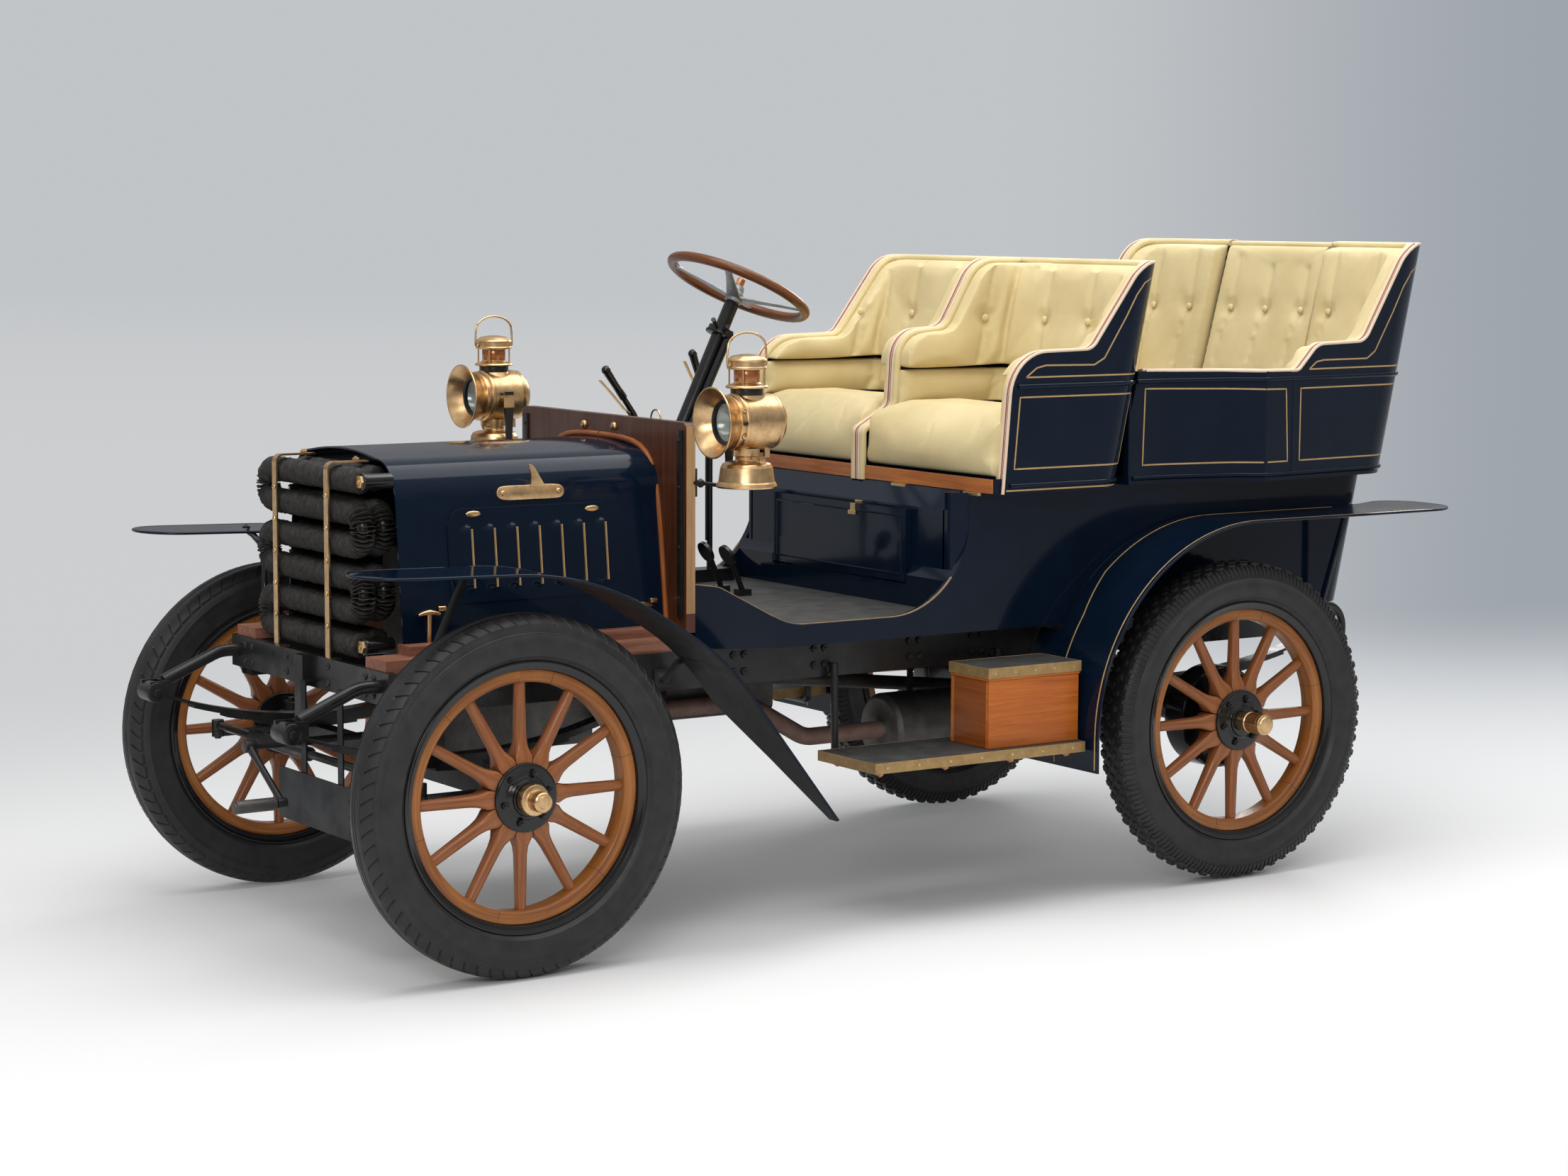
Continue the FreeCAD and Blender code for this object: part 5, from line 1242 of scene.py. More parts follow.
def buildLamps():
    bag = newBag()
    for side in (-1, 1):
        addLampBody(bag, side)
        addLampFittings(bag, side)
        addLampBracket(bag, side)
    makePiece("side_lamps_brass", bag, ["brass", "iron", "lens", "pane", "amber", "iron"], "car",
              replaced=("side_lamps",), angle=34)


buildLamps()
print("lamps ready")

# upholstery
quilt = {"voxel": 0.0065, "start": 0.0035, "pressure": 4.0, "frames": 20, "cap": 0.024, "button": 0.016,
         "buttonReach": 0.034, "buttonHeld": 0.011, "pleat": 0.007, "pleatWidth": 0.006}
clothValues = {"use_pressure": True, "uniform_pressure_force": quilt["pressure"], "vertex_group_mass": "held",
               "quality": 4, "mass": 0.3, "tension_stiffness": 12, "compression_stiffness": 12, "shear_stiffness": 8,
               "bending_stiffness": 0.6, "air_damping": 3}


def island(node, near):
    # the solid of a CAD node whose middle lies nearest to a place
    work = bmesh.new()
    work.from_mesh(nodes[node].data)
    bmesh.ops.remove_doubles(work, verts=work.verts, dist=weld)
    left = set(work.verts)
    groups = []
    while left:
        seed = left.pop()
        group, edge = {seed}, [seed]
        while edge:
            for link in edge.pop().link_edges:
                for vert in link.verts:
                    if vert in left:
                        left.discard(vert)
                        group.add(vert)
                        edge.append(vert)
        groups.append(group)
    target = carMatrix @ Vector(near)

    def offset(group):
        low = [min(v.co[i] for v in group) for i in range(3)]
        high = [max(v.co[i] for v in group) for i in range(3)]
        return (Vector([(a + b) / 2 for a, b in zip(low, high)]) - target).length

    keepers = min(groups, key=offset)
    bmesh.ops.delete(work, geom=[v for v in work.verts if v not in keepers], context="VERTS")
    mesh = bpy.data.meshes.new(node)
    work.to_mesh(mesh)
    work.free()
    return mesh


def evaluated(piece):
    graph = bpy.context.evaluated_depsgraph_get()
    return bpy.data.meshes.new_from_object(piece.evaluated_get(graph), depsgraph=graph)


def swap(piece, mesh):
    old = piece.data
    piece.modifiers.clear()
    piece.data = mesh
    bpy.data.meshes.remove(old)


def nearLine(spot, lines):
    best = 9.0
    for a, b in lines:
        span = b - a
        part = max(0.0, min(1.0, (spot - a).dot(span) / span.length_squared))
        best = min(best, (spot - a - span * part).length)
    return best


def sinkOf(spot, pleats, buttons):
    # how deep a point of a pad is drawn in, and whether the stitching holds it
    sink, pinned = quilt["start"], False
    if pleats and nearLine(spot, pleats) < quilt["pleatWidth"]:
        sink, pinned = sink + quilt["pleat"], True
    for button in buttons:
        away = (spot - button).length
        if away < quilt["buttonReach"]:
            sink = max(sink, quilt["start"] + quilt["button"] * (1 - away / quilt["buttonReach"]) ** 0.8)
            pinned = pinned or away < quilt["buttonHeld"]
    return sink, pinned


def inflate(piece, rest):
    # the cloth simulation, its result written into the piece
    cloth = piece.modifiers.new("Swell", "CLOTH")
    for key, value in clothValues.items():
        setattr(cloth.settings, key, value)
    cloth.settings.effector_weights.gravity = 0
    cloth.collision_settings.use_collision = False
    for step in range(1, quilt["frames"] + 1):
        bpy.context.scene.frame_set(step)
    swap(piece, evaluated(piece))
    bpy.context.scene.frame_set(1)
    for vert, home in zip(piece.data.vertices, rest):
        move = vert.co - home
        if move.length > quilt["cap"]:
            vert.co = home + move.normalized() * quilt["cap"]


def swollen(name, node, near, heldWay, buttons=(), pleats=(), body="car", held=0.35, replaced=(), reach=None):
    # heldWay(place) gives the direction, in the frame, in which the pad's held back faces
    piece = show(name, island(node, near))
    mod = piece.modifiers.new("Fine", "REMESH")
    mod.mode, mod.voxel_size = "VOXEL", quilt["voxel"]
    swap(piece, evaluated(piece))
    mesh = piece.data
    if reach:
        # the pad's free edge is stretched sideways: from, edge, extra
        for vert in mesh.vertices:
            share = (vert.co.y / milli - reach[0]) / (reach[1] - reach[0])
            vert.co.y += reach[2] * milli * max(0.0, share)
    lines = [[carMatrix @ Vector(p) for p in line] for line in pleats]
    dots = [carMatrix @ Vector(p) for p in buttons]
    normals = [v.normal.copy() for v in mesh.vertices]
    group = piece.vertex_groups.new(name="held")
    for vert, normal in zip(mesh.vertices, normals):
        back = normal.dot(heldWay(local @ vert.co)) > held
        sink, pinned = (quilt["start"], True) if back else sinkOf(vert.co, lines, dots)
        vert.co -= normal * sink
        if pinned:
            group.add([vert.index], 1.0, "REPLACE")
    rest = [v.co.copy() for v in mesh.vertices]
    inflate(piece, rest)
    mesh = piece.data
    mesh.materials.clear()
    mesh.materials.append(finishes["hide"])
    mesh.shade_smooth()
    smooth = piece.modifiers.new("Soft", "CORRECTIVE_SMOOTH")
    smooth.iterations, smooth.use_only_smooth = 2, True
    finer = piece.modifiers.new("Finer", "SUBSURF")
    finer.levels = finer.render_levels = 1
    swap(piece, evaluated(piece))
    piece.data.shade_smooth()
    register(piece, body, replaced)
    return piece


def seatBack(z):
    return 1752 + 0.219 * (z - 1004)


def tubBack(z):
    return 2573 + 0.229 * (z - 661)


def tubFace(y, z, thick):
    return (tubBack(z) - 22 - thick, y, z)


def outOfSeat(side):
    # the wall side of a squab that wraps one front seat
    def way(place):
        to = Vector((place.x - 1640, place.y - side * 280, 0))
        if place.x < 1700:
            return Vector((0, math.copysign(1, to.y), 0))
        if abs(to.y) > 190:
            return Vector((1, math.copysign(1, to.y), 0)).normalized()
        return Vector((1, 0, 0))
    return way


def outOfTub(place):
    if place.x < 2480:
        return Vector((0, math.copysign(1, place.y), 0))
    if abs(place.y) > 450:
        return Vector((1, math.copysign(1, place.y), 0)).normalized()
    return Vector((1, 0, 0))


def onSquab(x, y, z):
    # the nearest place on the front squabs' faces, with the way they face
    place, normal, _, _ = surface("front_seat_backs").find_nearest(carMatrix @ Vector((x, y, z)))
    return local @ place, normal


def downward(place):
    return -upwards


def toRear(place):
    return rearward


def tubTufts(stations, side, thick):
    # the buttons of a pad of the tub, and the stretches of its pleats
    pleats = []
    for y in stations:
        trail = [tubFace(side * y + shift, z, thick) for shift, z in ((0, 1610), (0, 1415), (16, 1350), (22, 1285),
                (10, 1205))]
        pleats += list(zip(trail, trail[1:]))
    return [tubFace(side * y, 1415, thick) for y in stations], pleats


def sunkButtons(buttons):
    return [(Vector(place) + rearward * 9, (-1, 0, 0.23)) for place in buttons]


def buildSeats():
    spots = []
    seatButtons, tubButtons, doorButtons = ((1690, 88), (1763, 202), (1763, 378), (1690, 492)), (285, 440), (-143, 0,
            143)
    for side, label in ((-1, "left"), (1, "right")):
        marks = [onSquab(x, side * y, 1408) for x, y in seatButtons]
        buttons = [place for place, _ in marks]
        pleats = []
        for x, y in seatButtons:
            trail = [onSquab(x + 0.219 * (z - 1408), side * y, z)[0]
                     for z in (1290, 1330, 1370, 1408, 1450, 1490, 1530, 1570)]
            pleats += list(zip(trail, trail[1:]))
        swollen("front_squab_" + label, "front_seat_backs", (1640, side * 290, 1420), outOfSeat(side), buttons, pleats,
                replaced=("front_seat_backs",) if side < 0 else ())
        swollen("front_seat_lining_" + label, "front_seat_backs", (1620, side * 290, 1235), outOfSeat(side))
        swollen("front_cushion_" + label, "front_seat_cushions", (1498, side * 280, 1112), downward,
                replaced=("front_seat_cushions",) if side < 0 else (), held=0.5)
        spots += [(place - way * 9, way) for place, way in marks]
        buttons, pleats = tubTufts(tubButtons, side, 62)
        swollen("rear_squab_" + label, "rear_seat_backs", (2560, side * 400, 1400), outOfTub, buttons, pleats,
                replaced=("rear_seat_backs",) if side < 0 else (), reach=None if side < 0
                else (300, 222, -8))
        swollen("rear_cushion_" + label, "rear_seat_cushions", (2420, side * 400, 1110), downward,
                replaced=("rear_seat_cushions",) if side < 0 else (), held=0.5)
        spots += sunkButtons(buttons)
        print("seats", label, "ready")
    spotPiece("seat_buttons", domeHead(10, 6, 18), spots, "hide", "car")
    buttons, pleats = tubTufts(doorButtons, 1, 32)
    low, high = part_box("tonneau_door_pad")
    mid = local @ ((Vector(low) + Vector(high)) / 2)
    swollen("door_pad", "tonneau_door_pad", tuple(mid), toRear, buttons, pleats, body="rear_door",
            replaced=("tonneau_door_pad",), reach=(100, 198, 8))
    spotPiece("door_pad_buttons", domeHead(10, 6, 18), sunkButtons(buttons), "hide", "rear_door")


buildSeats()

# arm edges, beads and coach lines
seatArm = [(1366, 1003), (1394, 1342, 110), (1636, 1347, 45), (1794, 1557, 100), (1850, 1557)]
middleArm = [(1331, 1003), (1331, 1130, 22), (1430, 1186, 30), (1441, 1374, 75), (1588, 1384, 50), (1688, 1557, 95),
             (1862, 1557)]
tubArm = [(1790, 1003), (1790, 1165), (1819, 1287), (2283, 1281, 30), (2352, 1346, 60), (2528, 1350, 50),
          (2686, 1592, 110), (2742, 1598)]


def seatPlan(z):
    back = seatBack(z)
    return softened([(1300, -570), (back, -570, 85), (back, 0)], 10)


def tubPlan(z):
    back = tubBack(z)
    return softened([(1770, -527), (1890, -521, 350), (2090, -562, 150), (2165, -613), (back, -565, 110),
                     (back, -212)], 10)


def sideAt(plan, x):
    for (xa, ya), (xb, yb) in zip(plan, plan[1:]):
        if xa <= x <= xb and xb - xa > 1e-6:
            return ya + (yb - ya) * (x - xa) / (xb - xa)
    return plan[-1][1]


def inwardAt(plan, x):
    # the level direction from the wall of a plan to the inside, at a station
    for (xa, ya), (xb, yb) in zip(plan, plan[1:]):
        if xa <= x <= xb and xb - xa > 1e-6:
            return Vector((ya - yb, xb - xa, 0)).normalized()
    return Vector((0, 1, 0))


def even(points, step=9.0):
    # the same path with points at most a step apart
    result = [Vector(points[0])]
    for a, b in zip(points, points[1:]):
        a, b = Vector(a), Vector(b)
        parts = max(1, math.ceil((b - a).length / step))
        result += [a.lerp(b, k / parts) for k in range(1, parts + 1)]
    return result


def edgePath(arm, plan, top, inset, start=0.0):
    # along the arm's edge, then round the top of the back, at the middle of the wall
    flat = even([(p[0], p[1], 0) for p in softened(arm, 10)])
    rim = plan(top)
    points, normals = [], []
    last = max(p.x for p in flat)
    for spot, way in zip(flat, ways(flat)):
        if spot.x >= start:
            points.append(Vector((spot.x, sideAt(rim, spot.x), spot.y)) + inwardAt(rim, spot.x) * inset)
            normals.append(Vector((-way.y, 0, way.x)))
    tail = even([(x, y, top) for x, y in rim if x > last + 3 or y > -440], 9)
    points += [spot + Vector((-way.y, way.x, 0)) * inset for spot, way in zip(tail, ways(tail))]
    return points, normals + [upwards] * len(tail)


def layRows(bag, points, normals, rows):
    # rows: (across, lift, radius or (width, height), slot)
    for across, lift, size, slot in rows:
        if isinstance(size, tuple):
            section = [(across + a, lift + o) for a, o in halfRound(size[0], size[1], 6)] + [(across + size[0] / 2,
                    lift - 2), (across - size[0] / 2, lift - 2)]
        else:
            section = [(across + a, lift + o) for a, o in ringSection(size, 10)]
        lay(bag, sweep(points, section, normals), slot)


def mirrorBag(bag):
    base = len(bag["verts"])
    bag["verts"] += [Vector((v.x, -v.y, v.z)) for v in bag["verts"]]
    bag["faces"] += [[base + i for i in face[::-1]] for face in list(bag["faces"])]
    bag["slots"] += list(bag["slots"])
    bag["uvs"] += list(bag["uvs"])


edging = [(8.5, 1.0, 4.0, 0), (3.6, 0.2, (4.4, 3.2), 1), (0.2, 0.0, (2.6, 2.4), 0), (-3.0, 0.2, (4.4, 3.2), 1),
          (-8.6, 0.6, 4.8, 0), (-17, -5.0, 9.5, 2)]
sillEdging = [(8.0, 0.5, 3.6, 0), (2, -0.6, (9, 2.0), 0), (-9, 0.4, 5.6, 0), (-17, -5.0, 9.5, 2)]


def buildEdging():
    bag = newBag()
    points, normals = edgePath(seatArm, seatPlan, 1557, 11)
    layRows(bag, points, normals, edging)
    points, normals = edgePath(tubArm, tubPlan, 1598, 11, 2250)
    layRows(bag, points, normals, edging)
    low = even([(x, y, 0) for x, y in tubPlan(1285) if 1818 < x < 2280] + [(2272, sideAt(tubPlan(1285), 2272), 0)], 12)
    level = [Vector((p.x, p.y + 11, 1287 - 6 * (p.x - 1819) / 464)) for p in low]
    layRows(bag, level, upwards, sillEdging)
    mirrorBag(bag)
    flat = even([(p[0], 0, p[1]) for p in softened(middleArm, 10)])
    flat = [p for p in flat if p.x < 1835]
    normals = [Vector((-way.z, 0, way.x)) for way in ways(flat)]
    layRows(bag, flat, normals, [(18, -5, 9.5, 2), (9.4, -0.2, 5.0, 0), (4.2, 0.4, (4.4, 3.2), 1),
                                 (0, 0.2, (3.4, 2.6), 0), (-4.2, 0.4, (4.4, 3.2), 1), (-9.4, -0.2, 5.0, 0),
                                 (-18, -5, 9.5, 2)])
    makePiece("arm_edging", bag, ["welt", "lace", "hide"], "car", angle=60)
    door = newBag()
    rim = [Vector((tubBack(1595) - 11, y, 1595.5)) for y in range(-204, 205, 12)]
    layRows(door, rim, upwards, [(-14, -5, 9, 2), (-6.5, 0.2, 4.4, 0), (-2.0, 0.0, (4.2, 2.6), 1),
                                 (2.6, 0.0, (4.2, 2.6), 1), (7, 0, 3.0, 0)])
    makePiece("door_top_edging", door, ["welt", "lace", "hide"], "rear_door", angle=60)


buildEdging()

bead = halfRound(13, 6.5, 6)


def wrapRun(plan, z, start, finish, out):
    # a level run that follows a shell's plan, from a station round to a distance from the middle
    points, normals = [], []
    path = even([(x, y, 0) for x, y in plan(z)], 12)
    for spot, way in zip(path, ways(path)):
        if spot.x >= start and spot.y <= finish:
            normals.append(Vector((way.y, -way.x, 0)))
            points.append(Vector((spot.x, spot.y, z)) + normals[-1] * out)
    return points, normals


# the front seat's frame, S line, level line and rim line, then the tub's two frames, S line and level line
coachRuns = [
    ("front_seat_shell", True, [(1397, 1063), (1413, 1236), (1776, 1236), (1737, 1063)]),
    ("front_seat_shell", False, [(1430, 1284), (1462, 1306), (1490, 1312), (1640, 1310), (1672, 1326), (1738, 1424),
                                 (1772, 1480),
                                 (1798, 1508), (1830, 1520)]),
    ("front_seat_shell", False, [(1430, 1284), (1790, 1284)]),
    ("front_seat_shell", False, [(1373, 1011), (1748, 1011)]),
    ("tonneau_shell", True, [(1836, 1052), (1842, 1243), (2236, 1236), (2246, 1052)]),
    ("tonneau_shell", True, [(2290, 1052), (2290, 1236), (2664, 1236), (2630, 1052)]),
    ("tonneau_shell", False, [(2320, 1284), (2346, 1302), (2372, 1306), (2536, 1306), (2566, 1324), (2630, 1424),
                              (2668, 1490),
                              (2700, 1526), (2736, 1545)]),
    ("tonneau_shell", False, [(2320, 1284), (2684, 1284)]),
]


def buildLines():
    lines = newBag()
    for side in (-1, 1):
        for node, closed, path in coachRuns:
            layLine(lines, node, path, side=side, closed=closed)
    half = newBag()
    for plan, z, start, finish in ((seatPlan, 1262, 1400, 1), (seatPlan, 1022, 1376, 1), (tubPlan, 1262, 1812, -211),
                                   (tubPlan, 1020, 1795, -211)):
        points, normals = wrapRun(plan, z, start, finish, -0.5)
        lay(half, sweep(points, bead, normals))
    for x in (1791.5, 2263):
        y = sideAt(tubPlan(1150), x)
        lay(half, sweep([Vector((x, y + 0.5, z)) for z in (1026, 1100, 1180, 1256)], halfRound(8, 3, 5),
                        Vector((0, -1, 0))))
    mirrorBag(half)
    makePiece("body_beads", half, ["navy"], "car", angle=50)
    makePiece("coach_lines", lines, ["goldLine"], "car", angle=60)
    doorTrim = newBag()
    for z in (1262, 1020):
        x = tubBack(z)
        lay(doorTrim, sweep([Vector((x - 0.3, y, z)) for y in (-205, -100, 0, 100, 205)], bead,
                            Vector((1, 0, -0.22)).normalized()))
    for ends in boxEdges((-170, 170), (1052, 1236)):
        lay(doorTrim, sweep([(tubBack(z), y, z) for y, z in ends], lineSection, Vector((1, 0, -0.229)).normalized()), 1)
    handle = [(tubBack(1130) + d, 150, 1130 + l) for d, l in ((2, -2), (24, -2), (30, -8), (30, -26), (30, -70))]
    lay(doorTrim, tube(handle, 6, 12), 2)
    lay(doorTrim, turned([(0, -1), (19, -1, 1), (19, 3, 2), (9, 7, 2), (0, 7)], 3, 32), 2, lambda x, y,
        z: (tubBack(1130) + y, 150 + x, 1128 + z))
    for z in (820, 1100, 1420):
        barrel = turned([(0, -24), (7, -24, 1), (7, 24, 1), (0, 24)], 2, 16)
        lay(doorTrim, barrel, 2, lambda x, y, w: (tubBack(z) + 3 + x, -206 + w, z + y))
    makePiece("rear_door_trim", doorTrim, ["navy", "goldLine", "brass"], "rear_door", angle=50)


buildLines()
print("edging and lines ready")

# steps, tool box and its lid
step = {"front": 915, "rear": 1540, "inner": 440, "outer": 680, "low": 374, "top": 400, "band": 2.6,
        "nuts": (945, 1135, 1330, 1500)}
toolBox = {"front": 1267, "rear": 1540, "outer": -650, "inner": -498, "low": 400, "high": 564, "wall": 12}


def brick(bag, along, across, up, slot=0, c=0.0):
    # a block between two stations, two sides and two heights, its edges softened by c
    verts = []
    for z, inset in ((up[0], c), (up[0] + c, 0), (up[1] - c, 0), (up[1], c)) if c else ((up[0], 0), (up[1], 0)):
        verts += [(x, y, z) for x, y in ((along[0] + inset, across[0] + inset), (along[1] - inset, across[0] + inset),
                                         (along[1] - inset, across[1] - inset), (along[0] + inset, across[1] - inset))]
    add(bag, verts, girdle(len(verts) // 4, 4), slot)


def bandRound(bag, along, across, up, thick, slot):
    # a flat strip round a board's edge
    (a, b), (l, h) = along, across
    strips = [((a, a + thick), (l, h)), ((a + thick, b - thick), (l, l + thick)), ((b - thick, b), (l, h)),
              ((a + thick, b - thick), (h - thick, h))]
    for x, y in strips:
        brick(bag, x, y, up, slot, 0.35)


def buildSteps():
    boards, irons, screws, nuts = newBag(), newBag(), [], []
    for side in (-1, 1):
        y = sorted((side * step["inner"], side * step["outer"]))
        brick(boards, (step["front"] + 3, step["rear"] - 3), (y[0] + 3, y[1] - 3), (step["low"], step["top"] - 2.5), 1,
              1)
        brick(boards, (step["front"] + 2.2, step["rear"] - 2.2), (y[0] + 2.2, y[1] - 2.2),
              (step["top"] - 2.6, step["top"] - 0.3), 0, 0.3)
        bandRound(boards, (step["front"], step["rear"]), y, (step["low"] + 1, step["top"]), step["band"], 2)
        outer = side * (step["outer"] - 0.1)
        for k in range(7):
            screws.append(((step["front"] + 35 + k * 92, outer, 388), (0, side, 0)))
        for k in range(3):
            screws.append(((step["front"] + 0.1, side * (step["inner"] + 40 + k * 80), 388), (-1, 0, 0)))
        nuts += [((x, side * 655, step["low"] + 0.5), (0, 0, -1))
                 for x in step["nuts"]] + [((x, side * 480, step["low"] + 0.5), (0, 0, -1)) for x in step["nuts"]]
        for x in (975, 1470):
            run = softened([(420, 604), (425, 385), (426, 366, 14), (606, 366)], 5)
            lay(irons, tube([(x, side * a, z) for a, z in run], 9.4, 14, up=(1, 0, 0)))
            lay(irons, turned([(0, 0), (14, 0, 1), (14, 9, 2), (0, 9)], 2, 20), 0, lambda u, v,
                w: (x + u, side * (401 + v), 590 + w))
    makePiece("step_boards", boards, ["lino", "enamel", "brassStrip"], "car",
              replaced=("running_boards",))
    makePiece("step_irons", irons, ["iron"], "car")
    spotPiece("step_band_screws", domeHead(3.4, 1.2, 10), screws, "brightBrass", "car")
    spotPiece("step_nuts", hexNut(15, 8, 4), nuts, "copper", "car")
    box, low, high, wall = newBag(), toolBox["low"], toolBox["high"], toolBox["wall"]
    f, r, o, i = (toolBox[k] for k in ("front", "rear", "outer", "inner"))
    brick(box, (f, r), (o, o + wall), (low + 0.3, high), 0, 0.8)
    brick(box, (f, r), (i - wall, i), (low + 0.3, high), 0, 0.8)
    brick(box, (f + 0.3, f + wall), (o + wall + 0.1, i - wall - 0.1), (low + 0.3, high), 1, 0.8)
    brick(box, (r - wall, r - 0.3), (o + wall + 0.1, i - wall - 0.1), (low + 0.3, high), 1, 0.8)
    brick(box, (f + wall, r - wall), (o + wall, i - wall), (low + 0.3, low + 12), 0)
    makePiece("tool_box", box, ["boxWood", "boxEnd"], "car", replaced=("step_box",))
    lid, screws = newBag(), []
    f, r, o, i, low, high = f - 6, r + 4, o - 6, i + 2, 564.6, 596
    brick(lid, (f + 2.6, r - 2.6), (o + 2.6, i - 2.6), (low, high - 2.2), 0, 0.5)
    brick(lid, (f + 2, r - 2), (o + 2, i - 2), (high - 2.3, high - 0.4), 1, 0.4)
    bandRound(lid, (f, r), (o, i), (low + 6, high), 2.4, 2)
    makePiece("tool_box_lid", lid, ["boxWood", "lino", "brassStrip"], "box_lid", replaced=("step_box_lid",))
    for k in range(5):
        screws.append(((f + 22 + k * 60, o + 0.1, 583), (0, -1, 0)))
    for k in range(3):
        screws.append(((f + 0.1, o + 25 + k * 55, 583), (-1, 0, 0)))
    spotPiece("lid_band_screws", domeHead(2.8, 1.0, 10), screws, "brightBrass", "box_lid")


buildSteps()
print("steps and tool box ready")

# steering wheel, column fittings and hand levers
steering = {"station": 1164, "side": 300, "height": 1484, "tilt": 26, "radius": 184, "rim": 12.8}
columnMatrix = (carMatrix @ Matrix.Translation((steering["station"], steering["side"], steering["height"]))
                @ Matrix.Rotation(math.radians(steering["tilt"]), 4, "Y"))


def upward(profile, count=32):
    # a turned shape whose axis is the steering column's
    verts, faces, uvs = lathe(profile, count)
    return [(x, z, y) for x, y, z in verts], [face[::-1] for face in faces], uvs


def buildSteering():
    rim, spider, stalk = newBag(), newBag(), newBag()
    loop = [(x, y, 0) for x, y in circle(steering["radius"], 96)]
    lay(rim, tube(loop, steering["rim"], 20, closed=True, up=(0, 0, 1)))
    for turn in range(4):
        angle = math.pi / 4 + turn * math.pi / 2
        c, s = math.cos(angle), math.sin(angle)
        verts = []
        for reach, wide, height, depth in ((12, 19, -29, 12), (34, 18, -25, 11), (80, 13.5, -17, 8), (130, 10, -9, 7),
                                           (166, 9, -4, 6.5), (176, 13, -2, 7)):
            for a, b in ((-1, -0.6), (0, -1), (1, -0.6), (1, 0.4), (0.35, 1), (-0.35, 1), (-1, 0.4)):
                verts.append((reach * c - a * wide * s, reach * s + a * wide * c, height + b * depth / 2))
        add(spider, verts, girdle(6, 7))
    lay(spider, upward(softened([(0, -42), (22, -42, 2), (23.5, -34, 3), (22, -20, 5), (18, -12, 3), (16, 0, 2),
                                 (0, 0)], 4)))
    lay(spider, upward(softened([(0, -1), (15, -1, 1), (15, 3, 1), (0, 3)], 3)))
    lay(spider, hexNut(21, 20, 5), 1, lambda a, b, c: (a, b, c + 3))
    makePiece("steering_rim", rim, ["rimWood"], "hand_wheel", columnMatrix, replaced=("steering_wheel",))
    makePiece("steering_spider", spider, ["alloy", "copper"], "hand_wheel", columnMatrix, bevel=0.8,
              angle=50)
    # quadrant plate, ignition lever and grease cup on the column
    lay(stalk, upward(softened([(20, -137), (37, -137, 1), (38, -131, 1), (31, -128, 1), (24, -119, 2), (20, -118)],
                               2), 40))
    for angle, reach in ((-2.5, 74), (-1.9, 58)):
        c, s = math.cos(angle), math.sin(angle)
        run = [(26 * c, 26 * s, -126), (40 * c, 40 * s, -124), (reach * c, reach * s, -118)]
        lay(stalk, tube(run, 4, 10, scales=[1, 1, 1.6]))
    makePiece("column_fittings", stalk, ["iron"], "car", columnMatrix)
    grips = newBag()
    for foot, bend, station, top, side in ((915, 1150, 826, 1274, 400), (1165, 1150, 1112, 1308, 440)):
        low, high = Vector((foot, side, bend)), Vector((station, side, top))
        way = (high - low).normalized()
        back = Vector((-way.z, 0, way.x))
        lay(grips, tube([high - way * 92, high - way * 88, high - way * 50, high - way * 6, high + way * 4, high
                         + way * 9], 10.4, 16, up=(0, 1, 0), scales=[0.8, 1, 0.92, 1.05, 0.95, 0.5]))
        lever = [high - way * 130 + back * 9, high - way * 112 + back * 16, high - way * 60 + back * 22, high
                 - way * 10 + back * 30]
        lay(grips, sweep(lever, [(-5, -1.6), (5, -1.6), (5, 1.6), (-5, 1.6)], up=back), 1)
        lay(grips, tube([low + back * 11 - Vector((0, 0, 330)), low + back * 11, high - way * 122 + back * 12], 3, 8,
                        up=(0, 1, 0)), 2)
    makePiece("hand_lever_grips", grips, ["enamel", "brass", "iron"], "car")


buildSteering()
print("steering ready")

# locker door, seat board and small irons
def buildFittings():
    # boards covered in hide behind the front cushions
    filler = newBag()
    for side in (-1, 1):
        brick(filler, (1674, 1713), sorted((side * 21, side * 539)), (1030, 1166), 0, 6)
        brick(filler, (1710, 1738), sorted((side * 62, side * 500)), (1030, 1166), 0, 6)
    makePiece("front_seat_back_boards", filler, ["hide"], "car")
    board, hinges, door, hasp = newBag(), newBag(), newBag(), newBag()
    for low, high in ((-561, -14), (14, 561)):
        brick(board, (1336.2, 1340), (low, high), (1005, 1039.5), 0, 0.8)
    makePiece("seat_board_front", board, ["seatWood"], "car")
    low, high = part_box("locker_door")
    low, high = local @ Vector(low), local @ Vector(high)
    for ends in boxEdges((low.y + 18, high.y - 18), (low.z + 18, high.z - 18)):
        lay(door, sweep([(low.x + 0.4, y, z) for y, z in ends], halfRound(5, 2.4, 4), forward))
    makePiece("locker_door_moulding", door, ["navy"], "locker")
    brick(hasp, (low.x - 3, low.x + 0.5), (-80, -60), (high.z - 30, high.z - 1), 0, 0.8)
    brick(hasp, (low.x - 6, low.x - 2.5), (-86, -54), (high.z - 30, high.z - 19), 0, 0.8)
    makePiece("locker_hasp", hasp, ["brightBrass"], "locker")
    for y in (-486, -185):
        brick(hinges, (1327, 1337), (y - 30, y + 30), (997, 1004.5), 0, 0.5)
    brick(hinges, (1286.5, 1291.5), (-84, -56), (941, 956), 0, 0.8)
    for y in (-327, 188):
        brick(hinges, (1286.5, 1291.5), (y - 24, y + 24), (728, 737), 0, 0.5)
    makePiece("seat_riser_plates", hinges, ["brightBrass"], "car")


crank = {"axis": 460, "gripSide": -172, "gripHeight": 355, "springEye": 547.5}
railBolts = {"stations": (-190, 700, 730, 930, 960, 1210, 1240, 1400, 1430, 1900, 1930), "side": 399.8,
             "heights": (600, 640)}


